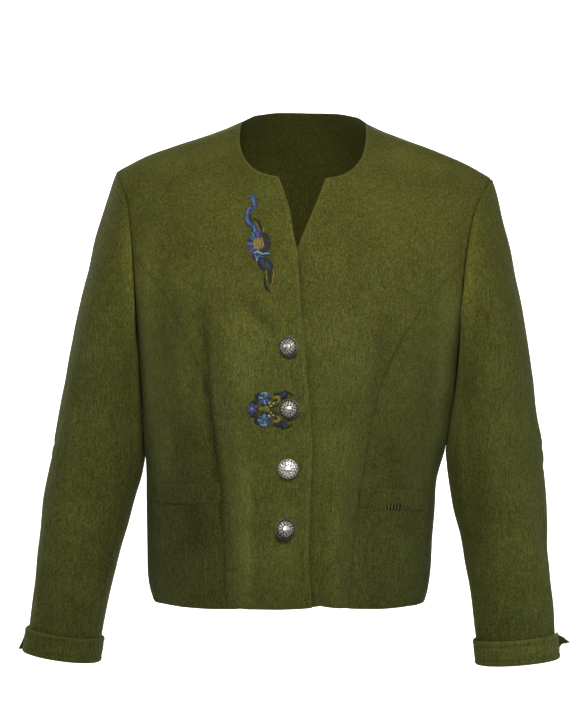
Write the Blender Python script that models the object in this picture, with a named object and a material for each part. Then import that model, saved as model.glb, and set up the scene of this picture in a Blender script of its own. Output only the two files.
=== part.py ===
"""Tyrolean loden jacket in its worn shape: collarless, cut with princess seams, closed right over left.

The frame is +Z up, the wearer faces -Y, and the wearer's left side is +X. The origin is where the
wearer carries the jacket: between the shoulders, level with the inner ends of the shoulder seams.

Every body panel is cut from one shell, a stack of rounded sections from hem to shoulder. A place on
the shell is an angle round the body (0 at centre front, 180 degrees at centre back, positive towards
+X) and a height (negative, 0 at the shoulder seam). Sleeves are lofted from the armhole to the cuff.
"""

import math

import bpy
from mathutils import Vector
from mathutils.bvhtree import BVHTree

# ---------------------------------------------------------------- driving dimensions (metres)
WALL = 0.0024  # loden with its interlining
SEAM_GAP = 0.0004  # between two panels at a seam
LAYER_GAP = 0.0007  # between two layers of cloth, one lying on the other
SLEEVE_CLEARANCE = 0.0014  # between the hanging sleeve and the body beside it
CUFF_WALL = 0.0036  # the cuff is cloth turned double
CUFF_DEPTH = 0.028
HEM = -0.565  # height of the hem
YOKE = -0.200  # above this height the sections tilt into the shoulder slope
UNDERARM = -0.265
SHOULDER_TIP = (0.2215, -0.0632)  # x and z of the armhole's highest point
NECK_POINT = (0.0740, -0.0010)  # x and z of the shoulder seam's inner end
PRINCESS_TOP = (0.1925, -0.165)  # where the princess seam runs into the armhole
V_BOTTOM = -0.159  # height where the two front edges cross

ROWS_BELOW = 18  # grid rows from hem to the top of the princess seam
ROWS_V = 4  # rows along the V of each front
ROWS_NECK = 7  # rows along the front neckline
ROWS_ABOVE = ROWS_V + ROWS_NECK
ROWS_BACK_ARMHOLE = 12
COLUMNS_FRONT = 13
COLUMNS_SIDE = 6
COLUMNS_SHOULDER = 6  # of the back, along each shoulder seam
COLUMNS_NECK = 10  # of the back, along its neckline

BUTTON_RADIUS = 0.0115
BUTTONS = ((-0.0027, -0.268), (-0.0010, -0.337), (-0.0012, -0.405), (-0.0036, -0.473))  # x and z
BUTTON_SIDES = 24
BUTTON_SEAT = 0.0004  # clearance under the shank

# sections of the body: half the width, depth of front and back, and how square the curve is
BODY_SECTIONS = {
    "height": (-0.565, -0.553, -0.525, -0.480, -0.430, -0.390, -0.340, -0.300, -0.265, -0.200, -0.150, -0.100, -0.050, 0.000),
    "half_width": (0.1600, 0.1640, 0.1680, 0.1700, 0.1722, 0.1768, 0.1822, 0.1862, 0.1900, 0.2050, 0.2160, 0.2260, 0.2360, 0.2430),
    "front_depth": (0.1180, 0.1210, 0.1235, 0.1250, 0.1265, 0.1290, 0.1340, 0.1370, 0.1370, 0.1290, 0.1180, 0.1030, 0.0860, 0.0700),
    "back_depth": (0.1060, 0.1080, 0.1080, 0.1050, 0.0990, 0.0960, 0.0980, 0.1030, 0.1070, 0.1120, 0.1120, 0.1060, 0.0930, 0.0760),
    "squareness": (1.95, 1.95, 1.95, 1.95, 1.98, 2.00, 2.10, 2.20, 2.30, 2.40, 2.45, 2.50, 2.50, 2.50),
}

# the jacket hangs a little towards the wearer's right below the waist
SWAY = {"height": (-0.565, -0.480, -0.420, -0.360, -0.300, -0.250), "x": (-0.0058, -0.0062, -0.0058, -0.0030, -0.0005, 0.0000)}

# top of the shoulder, from the root of the neck to past the shoulder point
RIDGE = {
    "x": (0.0000, 0.0300, 0.0550, 0.0740, 0.1090, 0.1490, 0.1880, 0.2215, 0.2500),
    "z": (0.0660, 0.0500, 0.0200, -0.0010, -0.0160, -0.0300, -0.0452, -0.0632, -0.0800),
}

# front edges: the right one laps over, and both run up into the V
RIGHT_EDGE = {
    "z": (-0.565, -0.500, -0.440, -0.385, -0.347, -0.294, -0.268, -0.215, -0.159),
    "x": (0.0280, 0.0235, 0.0235, 0.0250, 0.0220, 0.0170, 0.0140, 0.0075, 0.0020),
}
LEFT_EDGE = {
    "z": (-0.565, -0.440, -0.347, -0.268, -0.215, -0.159),
    "x": (-0.0210, -0.0200, -0.0170, -0.0100, -0.0045, 0.0020),
}
RIGHT_V = {"z": (-0.159, -0.135, -0.110, -0.092, -0.0745), "x": (0.0020, -0.0040, -0.0090, -0.0156, -0.0228)}
LEFT_V = {"z": (-0.159, -0.136, -0.107, -0.087, -0.0745), "x": (0.0020, 0.0095, 0.0205, 0.0275, 0.0315)}

# front necklines from the corner of the V round to the neck point, as distance from the centre
RIGHT_NECKLINE = {
    "x": (0.0228, 0.0420, 0.0530, 0.0625, 0.0695, 0.0735, 0.0740),
    "z": (-0.0745, -0.0700, -0.0640, -0.0545, -0.0420, -0.0250, -0.0010),
}
LEFT_NECKLINE = {
    "x": (0.0315, 0.0430, 0.0545, 0.0645, 0.0715, 0.0745, 0.0740),
    "z": (-0.0745, -0.0728, -0.0675, -0.0580, -0.0445, -0.0260, -0.0010),
}

# back neckline from centre back to the neck point
BACK_NECKLINE = {"x": (0.0000, 0.0200, 0.0400, 0.0550, 0.0660, 0.0740), "z": (0.0170, 0.0165, 0.0145, 0.0105, 0.0050, -0.0010)}

# armholes, from underarm to shoulder point, in the view from the front and from the back
ARMHOLE_FRONT = {
    "z": (-0.252, -0.230, -0.200, -0.165, -0.135, -0.105, -0.083, -0.0632),
    "x": (0.1905, 0.1890, 0.1900, 0.1925, 0.1960, 0.2020, 0.2110, 0.2215),
}
ARMHOLE_BACK = {
    "z": (-0.252, -0.230, -0.200, -0.165, -0.135, -0.105, -0.083, -0.0632),
    "x": (0.1905, 0.1905, 0.1930, 0.1970, 0.2010, 0.2065, 0.2140, 0.2215),
}

NEAR_SHOULDER = (-0.0637, -0.0652, -0.0680, -0.0730)  # extra heights where the armhole turns over the shoulder

PRINCESS = {
    "z": (-0.565, -0.500, -0.440, -0.380, -0.330, -0.290, -0.255, -0.220, -0.190, -0.165),
    "x": (0.0720, 0.0760, 0.0830, 0.0900, 0.0990, 0.1090, 0.1240, 0.1460, 0.1700, 0.1925),
}

# long soft folds of the hanging cloth, each a path of (x, z) with a half-width and a depth
# (a negative depth is a valley)
FRONT_FOLDS = (
    {"path": ((-0.101, -0.190), (-0.097, -0.272), (-0.090, -0.351), (-0.076, -0.420), (-0.066, -0.500), (-0.064, -0.590)), "half_width": 0.0150, "depth": -0.0085},
    {"path": ((-0.146, -0.200), (-0.150, -0.260), (-0.146, -0.320)), "half_width": 0.0130, "depth": -0.0040},
    {"path": ((-0.124, -0.215), (-0.122, -0.280), (-0.116, -0.350)), "half_width": 0.0130, "depth": 0.0030},
    {"path": ((-0.042, -0.400), (-0.041, -0.500), (-0.040, -0.600)), "half_width": 0.0140, "depth": 0.0045},
    {"path": ((0.104, -0.210), (0.098, -0.294), (0.095, -0.380), (0.085, -0.452), (0.080, -0.530), (0.078, -0.600)), "half_width": 0.0150, "depth": -0.0075},
    {"path": ((0.056, -0.330), (0.056, -0.410), (0.053, -0.500), (0.053, -0.600)), "half_width": 0.0130, "depth": 0.0050},
    {"path": ((0.037, -0.380), (0.036, -0.450), (0.037, -0.600)), "half_width": 0.0070, "depth": -0.0030},
    {"path": ((-0.066, -0.205), (-0.040, -0.232), (-0.012, -0.262)), "half_width": 0.0120, "depth": -0.0028},
)
BACK_FOLDS = (
    {"path": ((-0.095, -0.200), (-0.088, -0.320), (-0.092, -0.450), (-0.098, -0.600)), "half_width": 0.0230, "depth": -0.0058},
    {"path": ((0.098, -0.215), (0.090, -0.330), (0.090, -0.440), (0.100, -0.600)), "half_width": 0.0230, "depth": -0.0052},
    {"path": ((-0.040, -0.420), (-0.045, -0.500), (-0.050, -0.600)), "half_width": 0.0220, "depth": 0.0035},
    {"path": ((0.045, -0.400), (0.050, -0.500), (0.052, -0.600)), "half_width": 0.0220, "depth": 0.0038},
)
FOLD_FADE_DEGREES = (60.0, 82.0)  # folds die out between these angles round the body

# sleeve sections below the sleeve head: centre, half-width across and half-depth
SLEEVE_SECTIONS = {
    "z": (-0.300, -0.330, -0.360, -0.400, -0.440, -0.480, -0.520, -0.560, -0.600, -0.628),
    "centre_x": (0.2300, 0.2306, 0.2326, 0.2348, 0.2412, 0.2480, 0.2535, 0.2590, 0.2640, 0.2672),
    "centre_y": (0.0040, 0.0050, 0.0055, 0.0050, 0.0030, 0.0000, -0.0040, -0.0085, -0.0130, -0.0160),
    "half_width": (0.0458, 0.0492, 0.0532, 0.0570, 0.0554, 0.0520, 0.0490, 0.0473, 0.0460, 0.0450),
    "half_depth": (0.0660, 0.0640, 0.0610, 0.0570, 0.0530, 0.0500, 0.0470, 0.0445, 0.0430, 0.0420),
    "tilt_degrees": (4.0, 3.0, 3.5, 6.5, 9.0, 8.0, 7.5, 7.0, 6.5, 6.5),
}
RING_HEIGHTS = (
    -0.300, -0.322, -0.345, -0.368, -0.390, -0.412, -0.435, -0.458,
    -0.481, -0.504, -0.527, -0.550, -0.573, -0.5965, -0.612, -0.6275,
)  # fmt: skip
HEAD_STEPS = (0.0, 0.07, 0.14, 0.23, 0.33, 0.44, 0.56, 0.69, 0.83)
HEAD_ROWS = len(HEAD_STEPS)  # the upper sleeve's head is a solid of its own, so that its hollow stays open
# how the sleeve leaves the armhole: angle round it, direction, and length of pull
HEAD_START = {
    "round_degrees": (0.0, 45.0, 90.0, 140.0, 180.0, 220.0, 270.0, 315.0, 360.0),
    "x": (0.85, 0.86, 0.72, 0.42, 0.20, 0.42, 0.74, 0.86, 0.85),
    "y": (0.00, -0.22, -0.34, -0.20, 0.00, 0.20, 0.34, 0.22, 0.00),
    "z": (-0.53, -0.46, -0.60, -0.88, -0.98, -0.88, -0.58, -0.46, -0.53),
    "pull": (0.020, 0.040, 0.052, 0.040, 0.030, 0.040, 0.052, 0.040, 0.020),
}
HEAD_END_PULL = {"round_degrees": (0.0, 90.0, 180.0, 270.0, 360.0), "pull": (0.250, 0.150, 0.045, 0.150, 0.250)}

# the sleeve's two seams: columns of its grid, counted round the armhole from the shoulder point
FRONT_SEAM_COLUMN = 13
BACK_SEAM_COLUMN = 26
# below the elbow the back seam swings to the outside, where the cuff's slit is, and the front seam inwards
SEAM_SWING = {"round_degrees": (180.0, 315.0, 450.0, 497.0, 540.0), "degrees": (10.0, 36.0, 0.0, 14.0, 10.0)}
SEAM_SWING_HEIGHTS = (-0.300, -0.520)
SLEEVE_FOLDS = {
    -1: (
        {"path": ((60.0, -0.330), (95.0, -0.400), (128.0, -0.460)), "half_width": 0.0120, "depth": -0.0040},
        {"path": ((48.0, -0.375), (78.0, -0.450), (100.0, -0.520)), "half_width": 0.0110, "depth": -0.0035},
        {"path": ((50.0, -0.540), (58.0, -0.600)), "half_width": 0.0090, "depth": -0.0030},
    ),
    1: (
        {"path": ((118.0, -0.310), (112.0, -0.380), (120.0, -0.430)), "half_width": 0.0120, "depth": -0.0035},
        {"path": ((118.0, -0.420), (92.0, -0.500), (104.0, -0.560)), "half_width": 0.0120, "depth": -0.0042},
        {"path": ((40.0, -0.470), (20.0, -0.505), (0.0, -0.525)), "half_width": 0.0120, "depth": -0.0035},
    ),
}

# each sleeve hangs its own way: how much lower, further out, further forward and slimmer its end comes
SLEEVE_HANG = {-1: (0.0110, 0.0045, 0.0, 0.0024), 1: (-0.0035, -0.0020, 0.0140, 0.0)}

# how far the cuff's back end stands off at its slit: at the bottom edge, at mid height, at the top edge
CUFF_FLARE = {-1: (0.0065, 0.0035, 0.0010), 1: (0.0000, 0.0015, 0.0140)}
CUFF_DROOP = {-1: (0.0000, 0.0000, 0.0000), 1: (0.0000, 0.0010, 0.0085)}  # and how far it sinks
CUFF_SLIT_DEGREES = 4.0  # half the gap between the cuff's two ends

WELT = {"x": (0.0790, 0.1490), "z": (-0.4245, -0.4300), "height": 0.0230, "wall": 0.0018, "lift": 0.0010, "columns": 11}

LODEN = {"name": "loden", "colour": (0.075, 0.078, 0.016, 1.0), "roughness": 0.95, "metallic": 0.0}
SILVER = {"name": "antique_silver", "colour": (0.45, 0.44, 0.41, 1.0), "roughness": 0.35, "metallic": 1.0}


# ---------------------------------------------------------------- small helpers
def smooth_curve(keys, values):
    """A function that runs smoothly through the pairs (key, value), and flat beyond their ends."""
    order = sorted(range(len(keys)), key=lambda i: keys[i])
    xs = [keys[i] for i in order]
    ys = [values[i] for i in order]
    slopes = [(ys[i + 1] - ys[i]) / (xs[i + 1] - xs[i]) for i in range(len(xs) - 1)]
    tangents = [slopes[0]]
    for before, after in zip(slopes, slopes[1:]):
        same_way = before * after > 0
        tangents.append(2 * before * after / (before + after) if same_way else 0.0)
    tangents.append(slopes[-1])

    def at(x):
        if x <= xs[0]:
            return ys[0]
        if x >= xs[-1]:
            return ys[-1]
        i = max(k for k in range(len(xs) - 1) if xs[k] <= x)
        width = xs[i + 1] - xs[i]
        t = (x - xs[i]) / width
        return hermite(ys[i], tangents[i] * width, ys[i + 1], tangents[i + 1] * width, t)

    return at


def hermite(start, start_pull, end, end_pull, t):
    """Cubic from start to end that leaves and arrives with the given pulls."""
    return (
        start * (2 * t**3 - 3 * t**2 + 1)
        + start_pull * (t**3 - 2 * t**2 + t)
        + end * (3 * t**2 - 2 * t**3)
        + end_pull * (t**3 - t**2)
    )


def smooth_step(low, high, x):
    t = min(1.0, max(0.0, (x - low) / (high - low)))
    return t * t * (3 - 2 * t)


def mix(a, b, t):
    return a + (b - a) * t


def spread(low, high, count):
    """count + 1 values from low to high."""
    return [mix(low, high, i / count) for i in range(count + 1)]


def distance_to_path(x, z, path):
    """Distance from (x, z) to a chain of points, and how far along the chain the nearest point is."""
    lengths = [math.dist(a, b) for a, b in zip(path, path[1:])]
    total = sum(lengths)
    best, along_best, gone = 1e9, 0.0, 0.0
    for (x0, z0), (x1, z1), length in zip(path, path[1:], lengths):
        t = ((x - x0) * (x1 - x0) + (z - z0) * (z1 - z0)) / length**2
        t = min(1.0, max(0.0, t))
        away = math.dist((x, z), (mix(x0, x1, t), mix(z0, z1, t)))
        if away < best:
            best, along_best = away, (gone + t * length) / total
        gone += length
    return best, along_best


def fold_height(x, z, folds):
    """Sum of the folds at (x, z). A fold swells from its upper end and dies out if its lower end is free."""
    total = 0.0
    for fold in folds:
        away, along = distance_to_path(x, z, fold["path"])
        runs_off_hem = fold["path"][-1][1] < HEM
        swell = smooth_step(0.0, 0.25, along)
        if not runs_off_hem:
            swell *= 1.0 - smooth_step(0.75, 1.0, along)
        total += fold["depth"] * swell * math.exp(-((away / fold["half_width"]) ** 2))
    return total


# ---------------------------------------------------------------- the shell that the body is cut from
half_width = smooth_curve(BODY_SECTIONS["height"], BODY_SECTIONS["half_width"])
front_depth = smooth_curve(BODY_SECTIONS["height"], BODY_SECTIONS["front_depth"])
back_depth = smooth_curve(BODY_SECTIONS["height"], BODY_SECTIONS["back_depth"])
squareness = smooth_curve(BODY_SECTIONS["height"], BODY_SECTIONS["squareness"])
sway = smooth_curve(SWAY["height"], SWAY["x"])
ridge = smooth_curve(RIDGE["x"], RIDGE["z"])


def plain_shell(angle, height):
    """Point of the shell without its folds."""
    power = 2.0 / squareness(height)
    sine, cosine = math.sin(angle), math.cos(angle)
    x = math.copysign(half_width(height) * abs(sine) ** power, sine) + sway(height)
    rise = max(0.0, (height - YOKE) / -YOKE)
    depth = front_depth(height) if cosine >= 0 else back_depth(height)
    depth *= math.sqrt(max(0.0, 1.0 - rise**4))
    y = math.copysign(depth * abs(cosine) ** power, -cosine)
    z = height if rise == 0.0 else YOKE + rise * (ridge(abs(x)) - YOKE)
    return Vector((x, y, z))


def shell_normal(point_at, angle, height):
    """Outward normal of a surface given as a function of angle and height."""
    if height > -1e-6:
        x = point_at(angle, height).x
        step = 1e-4
        slope = (ridge(abs(x) + step) - ridge(abs(x) - step)) / (2 * step)
        return Vector((-slope * math.copysign(1.0, x), 0.0, 1.0)).normalized()
    turn, lift = math.radians(0.4), 0.0008
    low = max(HEM, height - lift)
    high = min(-1e-5, height + lift)
    around = point_at(angle + turn, height) - point_at(angle - turn, height)
    upward = point_at(angle, high) - point_at(angle, low)
    return around.cross(upward).normalized()


def shell(angle, height):
    """Point of the shell with its folds."""
    point = plain_shell(angle, height)
    is_front = math.cos(angle) >= 0
    from_middle = math.degrees(angle) if is_front else 180.0 - math.degrees(angle) % 360.0
    fade = 1.0 - smooth_step(*FOLD_FADE_DEGREES, abs(from_middle))
    if fade == 0.0 or height > -0.12:
        return point
    folds = FRONT_FOLDS if is_front else BACK_FOLDS
    return point + shell_normal(plain_shell, angle, height) * fade * fold_height(point.x, point.z, folds)


def place(x, z, back=False):
    """Angle and height of the shell's point that is seen at (x, z) from the front or from the back."""
    rise = (z - YOKE) / (ridge(abs(x)) - YOKE)
    height = z if z <= YOKE else min(0.0, YOKE * (1.0 - rise))
    x -= sway(height)
    share = min(1.0, abs(x) / half_width(height))
    angle = math.asin(share ** (squareness(height) / 2.0))
    if back:
        angle = math.pi - angle
    return (math.copysign(angle, x), height)


def resampled(places, count):
    """A smooth line through places (angle, height), as count + 1 places evenly far apart on the shell."""
    keys = [0.0]
    for a, b in zip(places, places[1:]):
        keys.append(keys[-1] + (plain_shell(*a) - plain_shell(*b)).length)
    angle_at = smooth_curve(keys, [p[0] for p in places])
    height_at = smooth_curve(keys, [p[1] for p in places])
    return [(angle_at(k), height_at(k)) for k in spread(0.0, keys[-1], count)]


def patch(bottom, top, inner, outer):
    """Grid of places between four edges, each a list of places. Rows run from inner to outer."""
    rows, columns = len(inner) - 1, len(bottom) - 1
    grid = []
    for i in range(rows + 1):
        t = i / rows
        row = []
        for j in range(columns + 1):
            s = j / columns
            place_here = []
            for axis in (0, 1):
                across = mix(inner[i][axis], outer[i][axis], s)
                along = mix(bottom[j][axis], top[j][axis], t)
                corners = mix(
                    mix(bottom[0][axis], bottom[-1][axis], s),
                    mix(top[0][axis], top[-1][axis], s),
                    t,
                )
                place_here.append(across + along - corners)
            row.append((place_here[0], min(0.0, place_here[1])))
        grid.append(row)
    return grid


# ---------------------------------------------------------------- seams and edges, as lists of places
def side_of(table_x, side):
    return [side * x for x in table_x]


def side_seam(side):
    """From hem to underarm."""
    return [(side * math.pi / 2, height) for height in spread(HEM, UNDERARM, ROWS_BELOW)]


def princess_seam(side):
    """From hem to armhole."""
    x_at = smooth_curve(PRINCESS["z"], side_of(PRINCESS["x"], side))
    return [place(x_at(z), z) for z in spread(HEM, PRINCESS_TOP[1], ROWS_BELOW)]


def armhole(side, table, back, low, high, count):
    """Part of an armhole, from the height low up to high."""
    x_at = smooth_curve(table["z"], side_of(table["x"], side))
    shown = sorted(z for z in (*table["z"], *NEAR_SHOULDER) if low < z < high)
    places = [place(x_at(z), z, back) for z in (low, *shown, high)]
    return resampled(places, count)


def armhole_upper_front(side):
    """From the top of the princess seam to the shoulder point."""
    places = armhole(side, ARMHOLE_FRONT, False, PRINCESS_TOP[1], SHOULDER_TIP[1], ROWS_ABOVE)
    return places[:-1] + [(places[-1][0], 0.0)]


def armhole_lower_front(side):
    """From the top of the princess seam down and round to the underarm."""
    x_at = smooth_curve(ARMHOLE_FRONT["z"], side_of(ARMHOLE_FRONT["x"], side))
    heights = (PRINCESS_TOP[1], -0.200, -0.230, -0.252)
    places = [place(x_at(z), z) for z in heights] + [(side * math.pi / 2, UNDERARM)]
    return resampled(places, COLUMNS_SIDE)


def armhole_back(side):
    """From the underarm up the back to the shoulder point."""
    x_at = smooth_curve(ARMHOLE_BACK["z"], side_of(ARMHOLE_BACK["x"], side))
    places = [(side * math.pi / 2, UNDERARM)]
    places += [place(x_at(z), z, back=True) for z in sorted(ARMHOLE_BACK["z"] + NEAR_SHOULDER)]
    places = resampled(places, ROWS_BACK_ARMHOLE)
    return places[:-1] + [(places[-1][0], 0.0)]


def shoulder_seam(side, back, count):
    """From the neck point to the shoulder point."""
    angles = [place(x, ridge(x), back)[0] for x in spread(NECK_POINT[0], SHOULDER_TIP[0], count)]
    return [(side * angle, 0.0) for angle in angles]


def front_edge(side, edge, v_edge, neckline):
    """Inner edge of a front: up from the hem, along the V and round the neckline."""
    x_at = smooth_curve(edge["z"], edge["x"])
    places = [place(x_at(z), z) for z in spread(HEM, V_BOTTOM, ROWS_BELOW)]
    v_places = [place(x, z) for x, z in zip(v_edge["x"], v_edge["z"])]
    places += resampled(v_places, ROWS_V)[1:]
    neck_places = [place(side * x, z) for x, z in zip(neckline["x"][1:], neckline["z"][1:])]
    round_neck = resampled([v_places[-1]] + neck_places, ROWS_NECK)[1:]
    return places + round_neck[:-1] + [(round_neck[-1][0], 0.0)]


def back_top():
    """From the right shoulder point along the shoulder seam, the back neckline and the left shoulder seam."""
    shoulder = [angle for angle, _ in shoulder_seam(1, True, COLUMNS_SHOULDER)]
    right = [(2 * math.pi - angle, 0.0) for angle in reversed(shoulder)]
    left = [(angle, 0.0) for angle in shoulder]
    half = [place(x, z, back=True) for x, z in zip(BACK_NECKLINE["x"], BACK_NECKLINE["z"])]
    half[-1] = left[0]
    neck = resampled([(2 * math.pi - angle, height) for angle, height in half[:0:-1]] + half, COLUMNS_NECK)
    return right + neck[1:-1] + left


# ---------------------------------------------------------------- walls and objects
def material(finish):
    made = bpy.data.materials.get(finish["name"])
    if made is None:
        made = bpy.data.materials.new(finish["name"])
        made.use_nodes = True
        shader = made.node_tree.nodes["Principled BSDF"]
        shader.inputs["Base Color"].default_value = finish["colour"]
        shader.inputs["Roughness"].default_value = finish["roughness"]
        shader.inputs["Metallic"].default_value = finish["metallic"]
    return made


def add_object(name, points, faces, finish):
    """A smooth-shaded object from points and faces, with its faces turned outwards."""
    volume = 0.0
    for face in faces:
        for b, c in zip(face[1:], face[2:]):
            volume += points[face[0]].dot(points[b].cross(points[c]))
    if volume < 0:
        faces = [face[::-1] for face in faces]
    mesh = bpy.data.meshes.new(name)
    mesh.from_pydata([tuple(p) for p in points], [], faces)
    mesh.shade_smooth()
    mesh.set_sharp_from_angle(angle=math.radians(40))
    mesh.materials.append(material(finish))
    made = bpy.data.objects.new(name, mesh)
    bpy.context.scene.collection.objects.link(made)
    return made


def wall(name, outside, inside, finish=LODEN):
    """A closed wall between two grids of points, with a rim round its four edges."""
    rows, columns = len(outside), len(outside[0])
    count = rows * columns
    points = [p for row in outside for p in row] + [p for row in inside for p in row]
    faces = []
    for i in range(rows - 1):
        for j in range(columns - 1):
            a = i * columns + j
            square = (a, a + 1, a + columns + 1, a + columns)
            across = (points[square[0]] - points[square[2]]).length
            if across > (points[square[1]] - points[square[3]]).length:
                square = square[1:] + square[:1]
            for half in ((square[0], square[1], square[2]), (square[0], square[2], square[3])):
                faces.append(half)
                faces.append(tuple(count + k for k in reversed(half)))
    bottom = list(range(columns))
    right = [i * columns + columns - 1 for i in range(rows)]
    top = [(rows - 1) * columns + j for j in reversed(range(columns))]
    left = [i * columns for i in reversed(range(rows))]
    loop = bottom[:-1] + right[:-1] + top[:-1] + left[:-1]
    for a, b in zip(loop, loop[1:] + loop[:1]):
        faces.append((b, a, count + a, count + b))
    return add_object(name, points, faces, finish)


def drawn_in(grid, normals, sides):
    """The grid with the named edges drawn back by half a seam, so that neighbours don't touch."""
    rows, columns = len(grid), len(grid[0])
    made = [[p.copy() for p in row] for row in grid]

    def pull(i, j, i_next, j_next):
        inward = grid[i_next][j_next] - grid[i][j]
        inward -= normals[i][j] * inward.dot(normals[i][j])
        made[i][j] += inward.normalized() * SEAM_GAP / 2

    for i in range(rows):
        if "inner" in sides:
            pull(i, 0, i, 1)
        if "outer" in sides:
            pull(i, columns - 1, i, columns - 2)
    for j in range(columns):
        if "top" in sides:
            pull(rows - 1, j, rows - 2, j)
        if "bottom" in sides:
            pull(0, j, 1, j)
    return made


def panel(name, places, seams, lift=None):
    """A wall of cloth cut from the shell at a grid of places."""
    normals = [[shell_normal(shell, *p) for p in row] for row in places]
    outside = drawn_in([[shell(*p) for p in row] for row in places], normals, seams)
    if lift:
        outside = [[p + n * lift(p) for p, n in zip(ps, ns)] for ps, ns in zip(outside, normals)]
    inside = [[p - n * WALL for p, n in zip(ps, ns)] for ps, ns in zip(outside, normals)]
    return wall(name, outside, inside)


# ---------------------------------------------------------------- body panels
def overlap_lift(point):
    """How far the right front stands off the shell, to clear the left front that it covers."""
    covers = smooth_step(-0.062, -0.026, point.x)
    below_v = 1.0 - smooth_step(-0.150, -0.110, point.z)
    return (WALL + LAYER_GAP) * covers * below_v


def make_front(side, name, edge, v_edge, neckline, lift=None):
    inner = front_edge(side, edge, v_edge, neckline)
    outer = princess_seam(side)[:-1] + armhole_upper_front(side)
    top = shoulder_seam(side, False, COLUMNS_FRONT)
    start = plain_shell(*inner[0]).x
    end = plain_shell(*outer[0]).x
    bottom = [place(x, HEM) for x in spread(start, end, COLUMNS_FRONT)]
    return panel(name, patch(bottom, top, inner, outer), ("outer", "top"), lift)


def make_side_front(side, name):
    inner, outer = princess_seam(side), side_seam(side)
    bottom = resampled([inner[0], (mix(inner[0][0], outer[0][0], 0.5), HEM), outer[0]], COLUMNS_SIDE)
    top = armhole_lower_front(side)
    return panel(name, patch(bottom, top, inner, outer), ("inner", "outer", "top"))


def make_back(name):
    right = [(angle + 2 * math.pi, height) for angle, height in side_seam(-1)[:-1] + armhole_back(-1)]
    left = side_seam(1)[:-1] + armhole_back(1)
    top = back_top()
    bottom = [(angle, HEM) for angle in spread(1.5 * math.pi, 0.5 * math.pi, len(top) - 1)]
    return panel(name, patch(bottom, top, right, left), ("inner", "outer", "top"))


# ---------------------------------------------------------------- sleeves
def armhole_loop(side):
    """Places round the armhole: shoulder point, down the front, underarm, up the back."""
    front = armhole_upper_front(side)[::-1] + armhole_lower_front(side)[1:]
    return front + armhole_back(side)[1:-1]


def column_degrees():
    """Angle round the sleeve for each armhole point: 0 outside, 90 in front, 180 inside."""
    front = ROWS_ABOVE + COLUMNS_SIDE
    ahead = [180.0 * i / front for i in range(front)]
    behind = [180.0 + 180.0 * i / ROWS_BACK_ARMHOLE for i in range(ROWS_BACK_ARMHOLE)]
    return ahead + behind


sleeve_centre_x = smooth_curve(SLEEVE_SECTIONS["z"], SLEEVE_SECTIONS["centre_x"])
sleeve_centre_y = smooth_curve(SLEEVE_SECTIONS["z"], SLEEVE_SECTIONS["centre_y"])
sleeve_half_width = smooth_curve(SLEEVE_SECTIONS["z"], SLEEVE_SECTIONS["half_width"])
sleeve_half_depth = smooth_curve(SLEEVE_SECTIONS["z"], SLEEVE_SECTIONS["half_depth"])
sleeve_tilt = smooth_curve(SLEEVE_SECTIONS["z"], SLEEVE_SECTIONS["tilt_degrees"])
SLEEVE_TOP = SLEEVE_SECTIONS["z"][0]
SLEEVE_END = SLEEVE_SECTIONS["z"][-1]


seam_swing = smooth_curve(SEAM_SWING["round_degrees"], SEAM_SWING["degrees"])


def swung(degrees, z):
    """Angle round the sleeve at height z, for the column that starts at these degrees of the armhole."""
    turned = 180.0 + (degrees - 180.0) % 360.0
    return degrees + seam_swing(turned) * smooth_step(*SEAM_SWING_HEIGHTS, z)


def sleeve_fold_height(side, degrees, z, width):
    """Folds of a sleeve; their paths are given as degrees round it and height."""
    turned = math.radians((degrees + 180.0) % 360.0 - 180.0) * width
    folds = [
        dict(fold, path=tuple((math.radians(d) * width, h) for d, h in fold["path"]))
        for fold in SLEEVE_FOLDS[side]
    ]
    return fold_height(turned, z, folds) * (1.0 - smooth_step(-0.570, -0.590, z))


def sleeve_section(side, degrees, z, stand_off=0.0):
    """Point on the sleeve's section whose centre is at height z, stand_off outside it."""
    around, tilt = math.radians(degrees), math.radians(sleeve_tilt(z))
    across = Vector((side * math.cos(tilt), 0.0, math.sin(tilt)))
    drop, out, forward, slimmer = SLEEVE_HANG[side]
    low = smooth_step(-0.300, -0.600, z)
    out *= smooth_step(-0.340, -0.480, z)
    centre = Vector((side * (sleeve_centre_x(z) + out), sleeve_centre_y(z) - forward * low, z - drop * low))
    width = sleeve_half_width(z) - slimmer * low
    grown = stand_off + sleeve_fold_height(side, degrees, z, width)
    width, depth = width + grown, sleeve_half_depth(z) + grown
    return centre + across * math.cos(around) * width + Vector((0, -1, 0)) * math.sin(around) * depth


def clear_of_body(point, clearance):
    """The point pushed sideways where it would come nearer to the body than the clearance."""
    height = max(HEM, point.z)
    depth = front_depth(height) if point.y < 0 else back_depth(height)
    share = min(1.0, abs(point.y) / depth)
    power = squareness(height)
    reach = half_width(height) * (1.0 - share**power) ** (1.0 / power) + clearance
    reach += math.copysign(1.0, point.x) * sway(height)
    room = abs(point.x) - reach
    softness = 0.002
    room = (room + math.sqrt(room * room + softness * softness)) / 2
    return Vector((math.copysign(reach + room, point.x), point.y, point.z))


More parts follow.
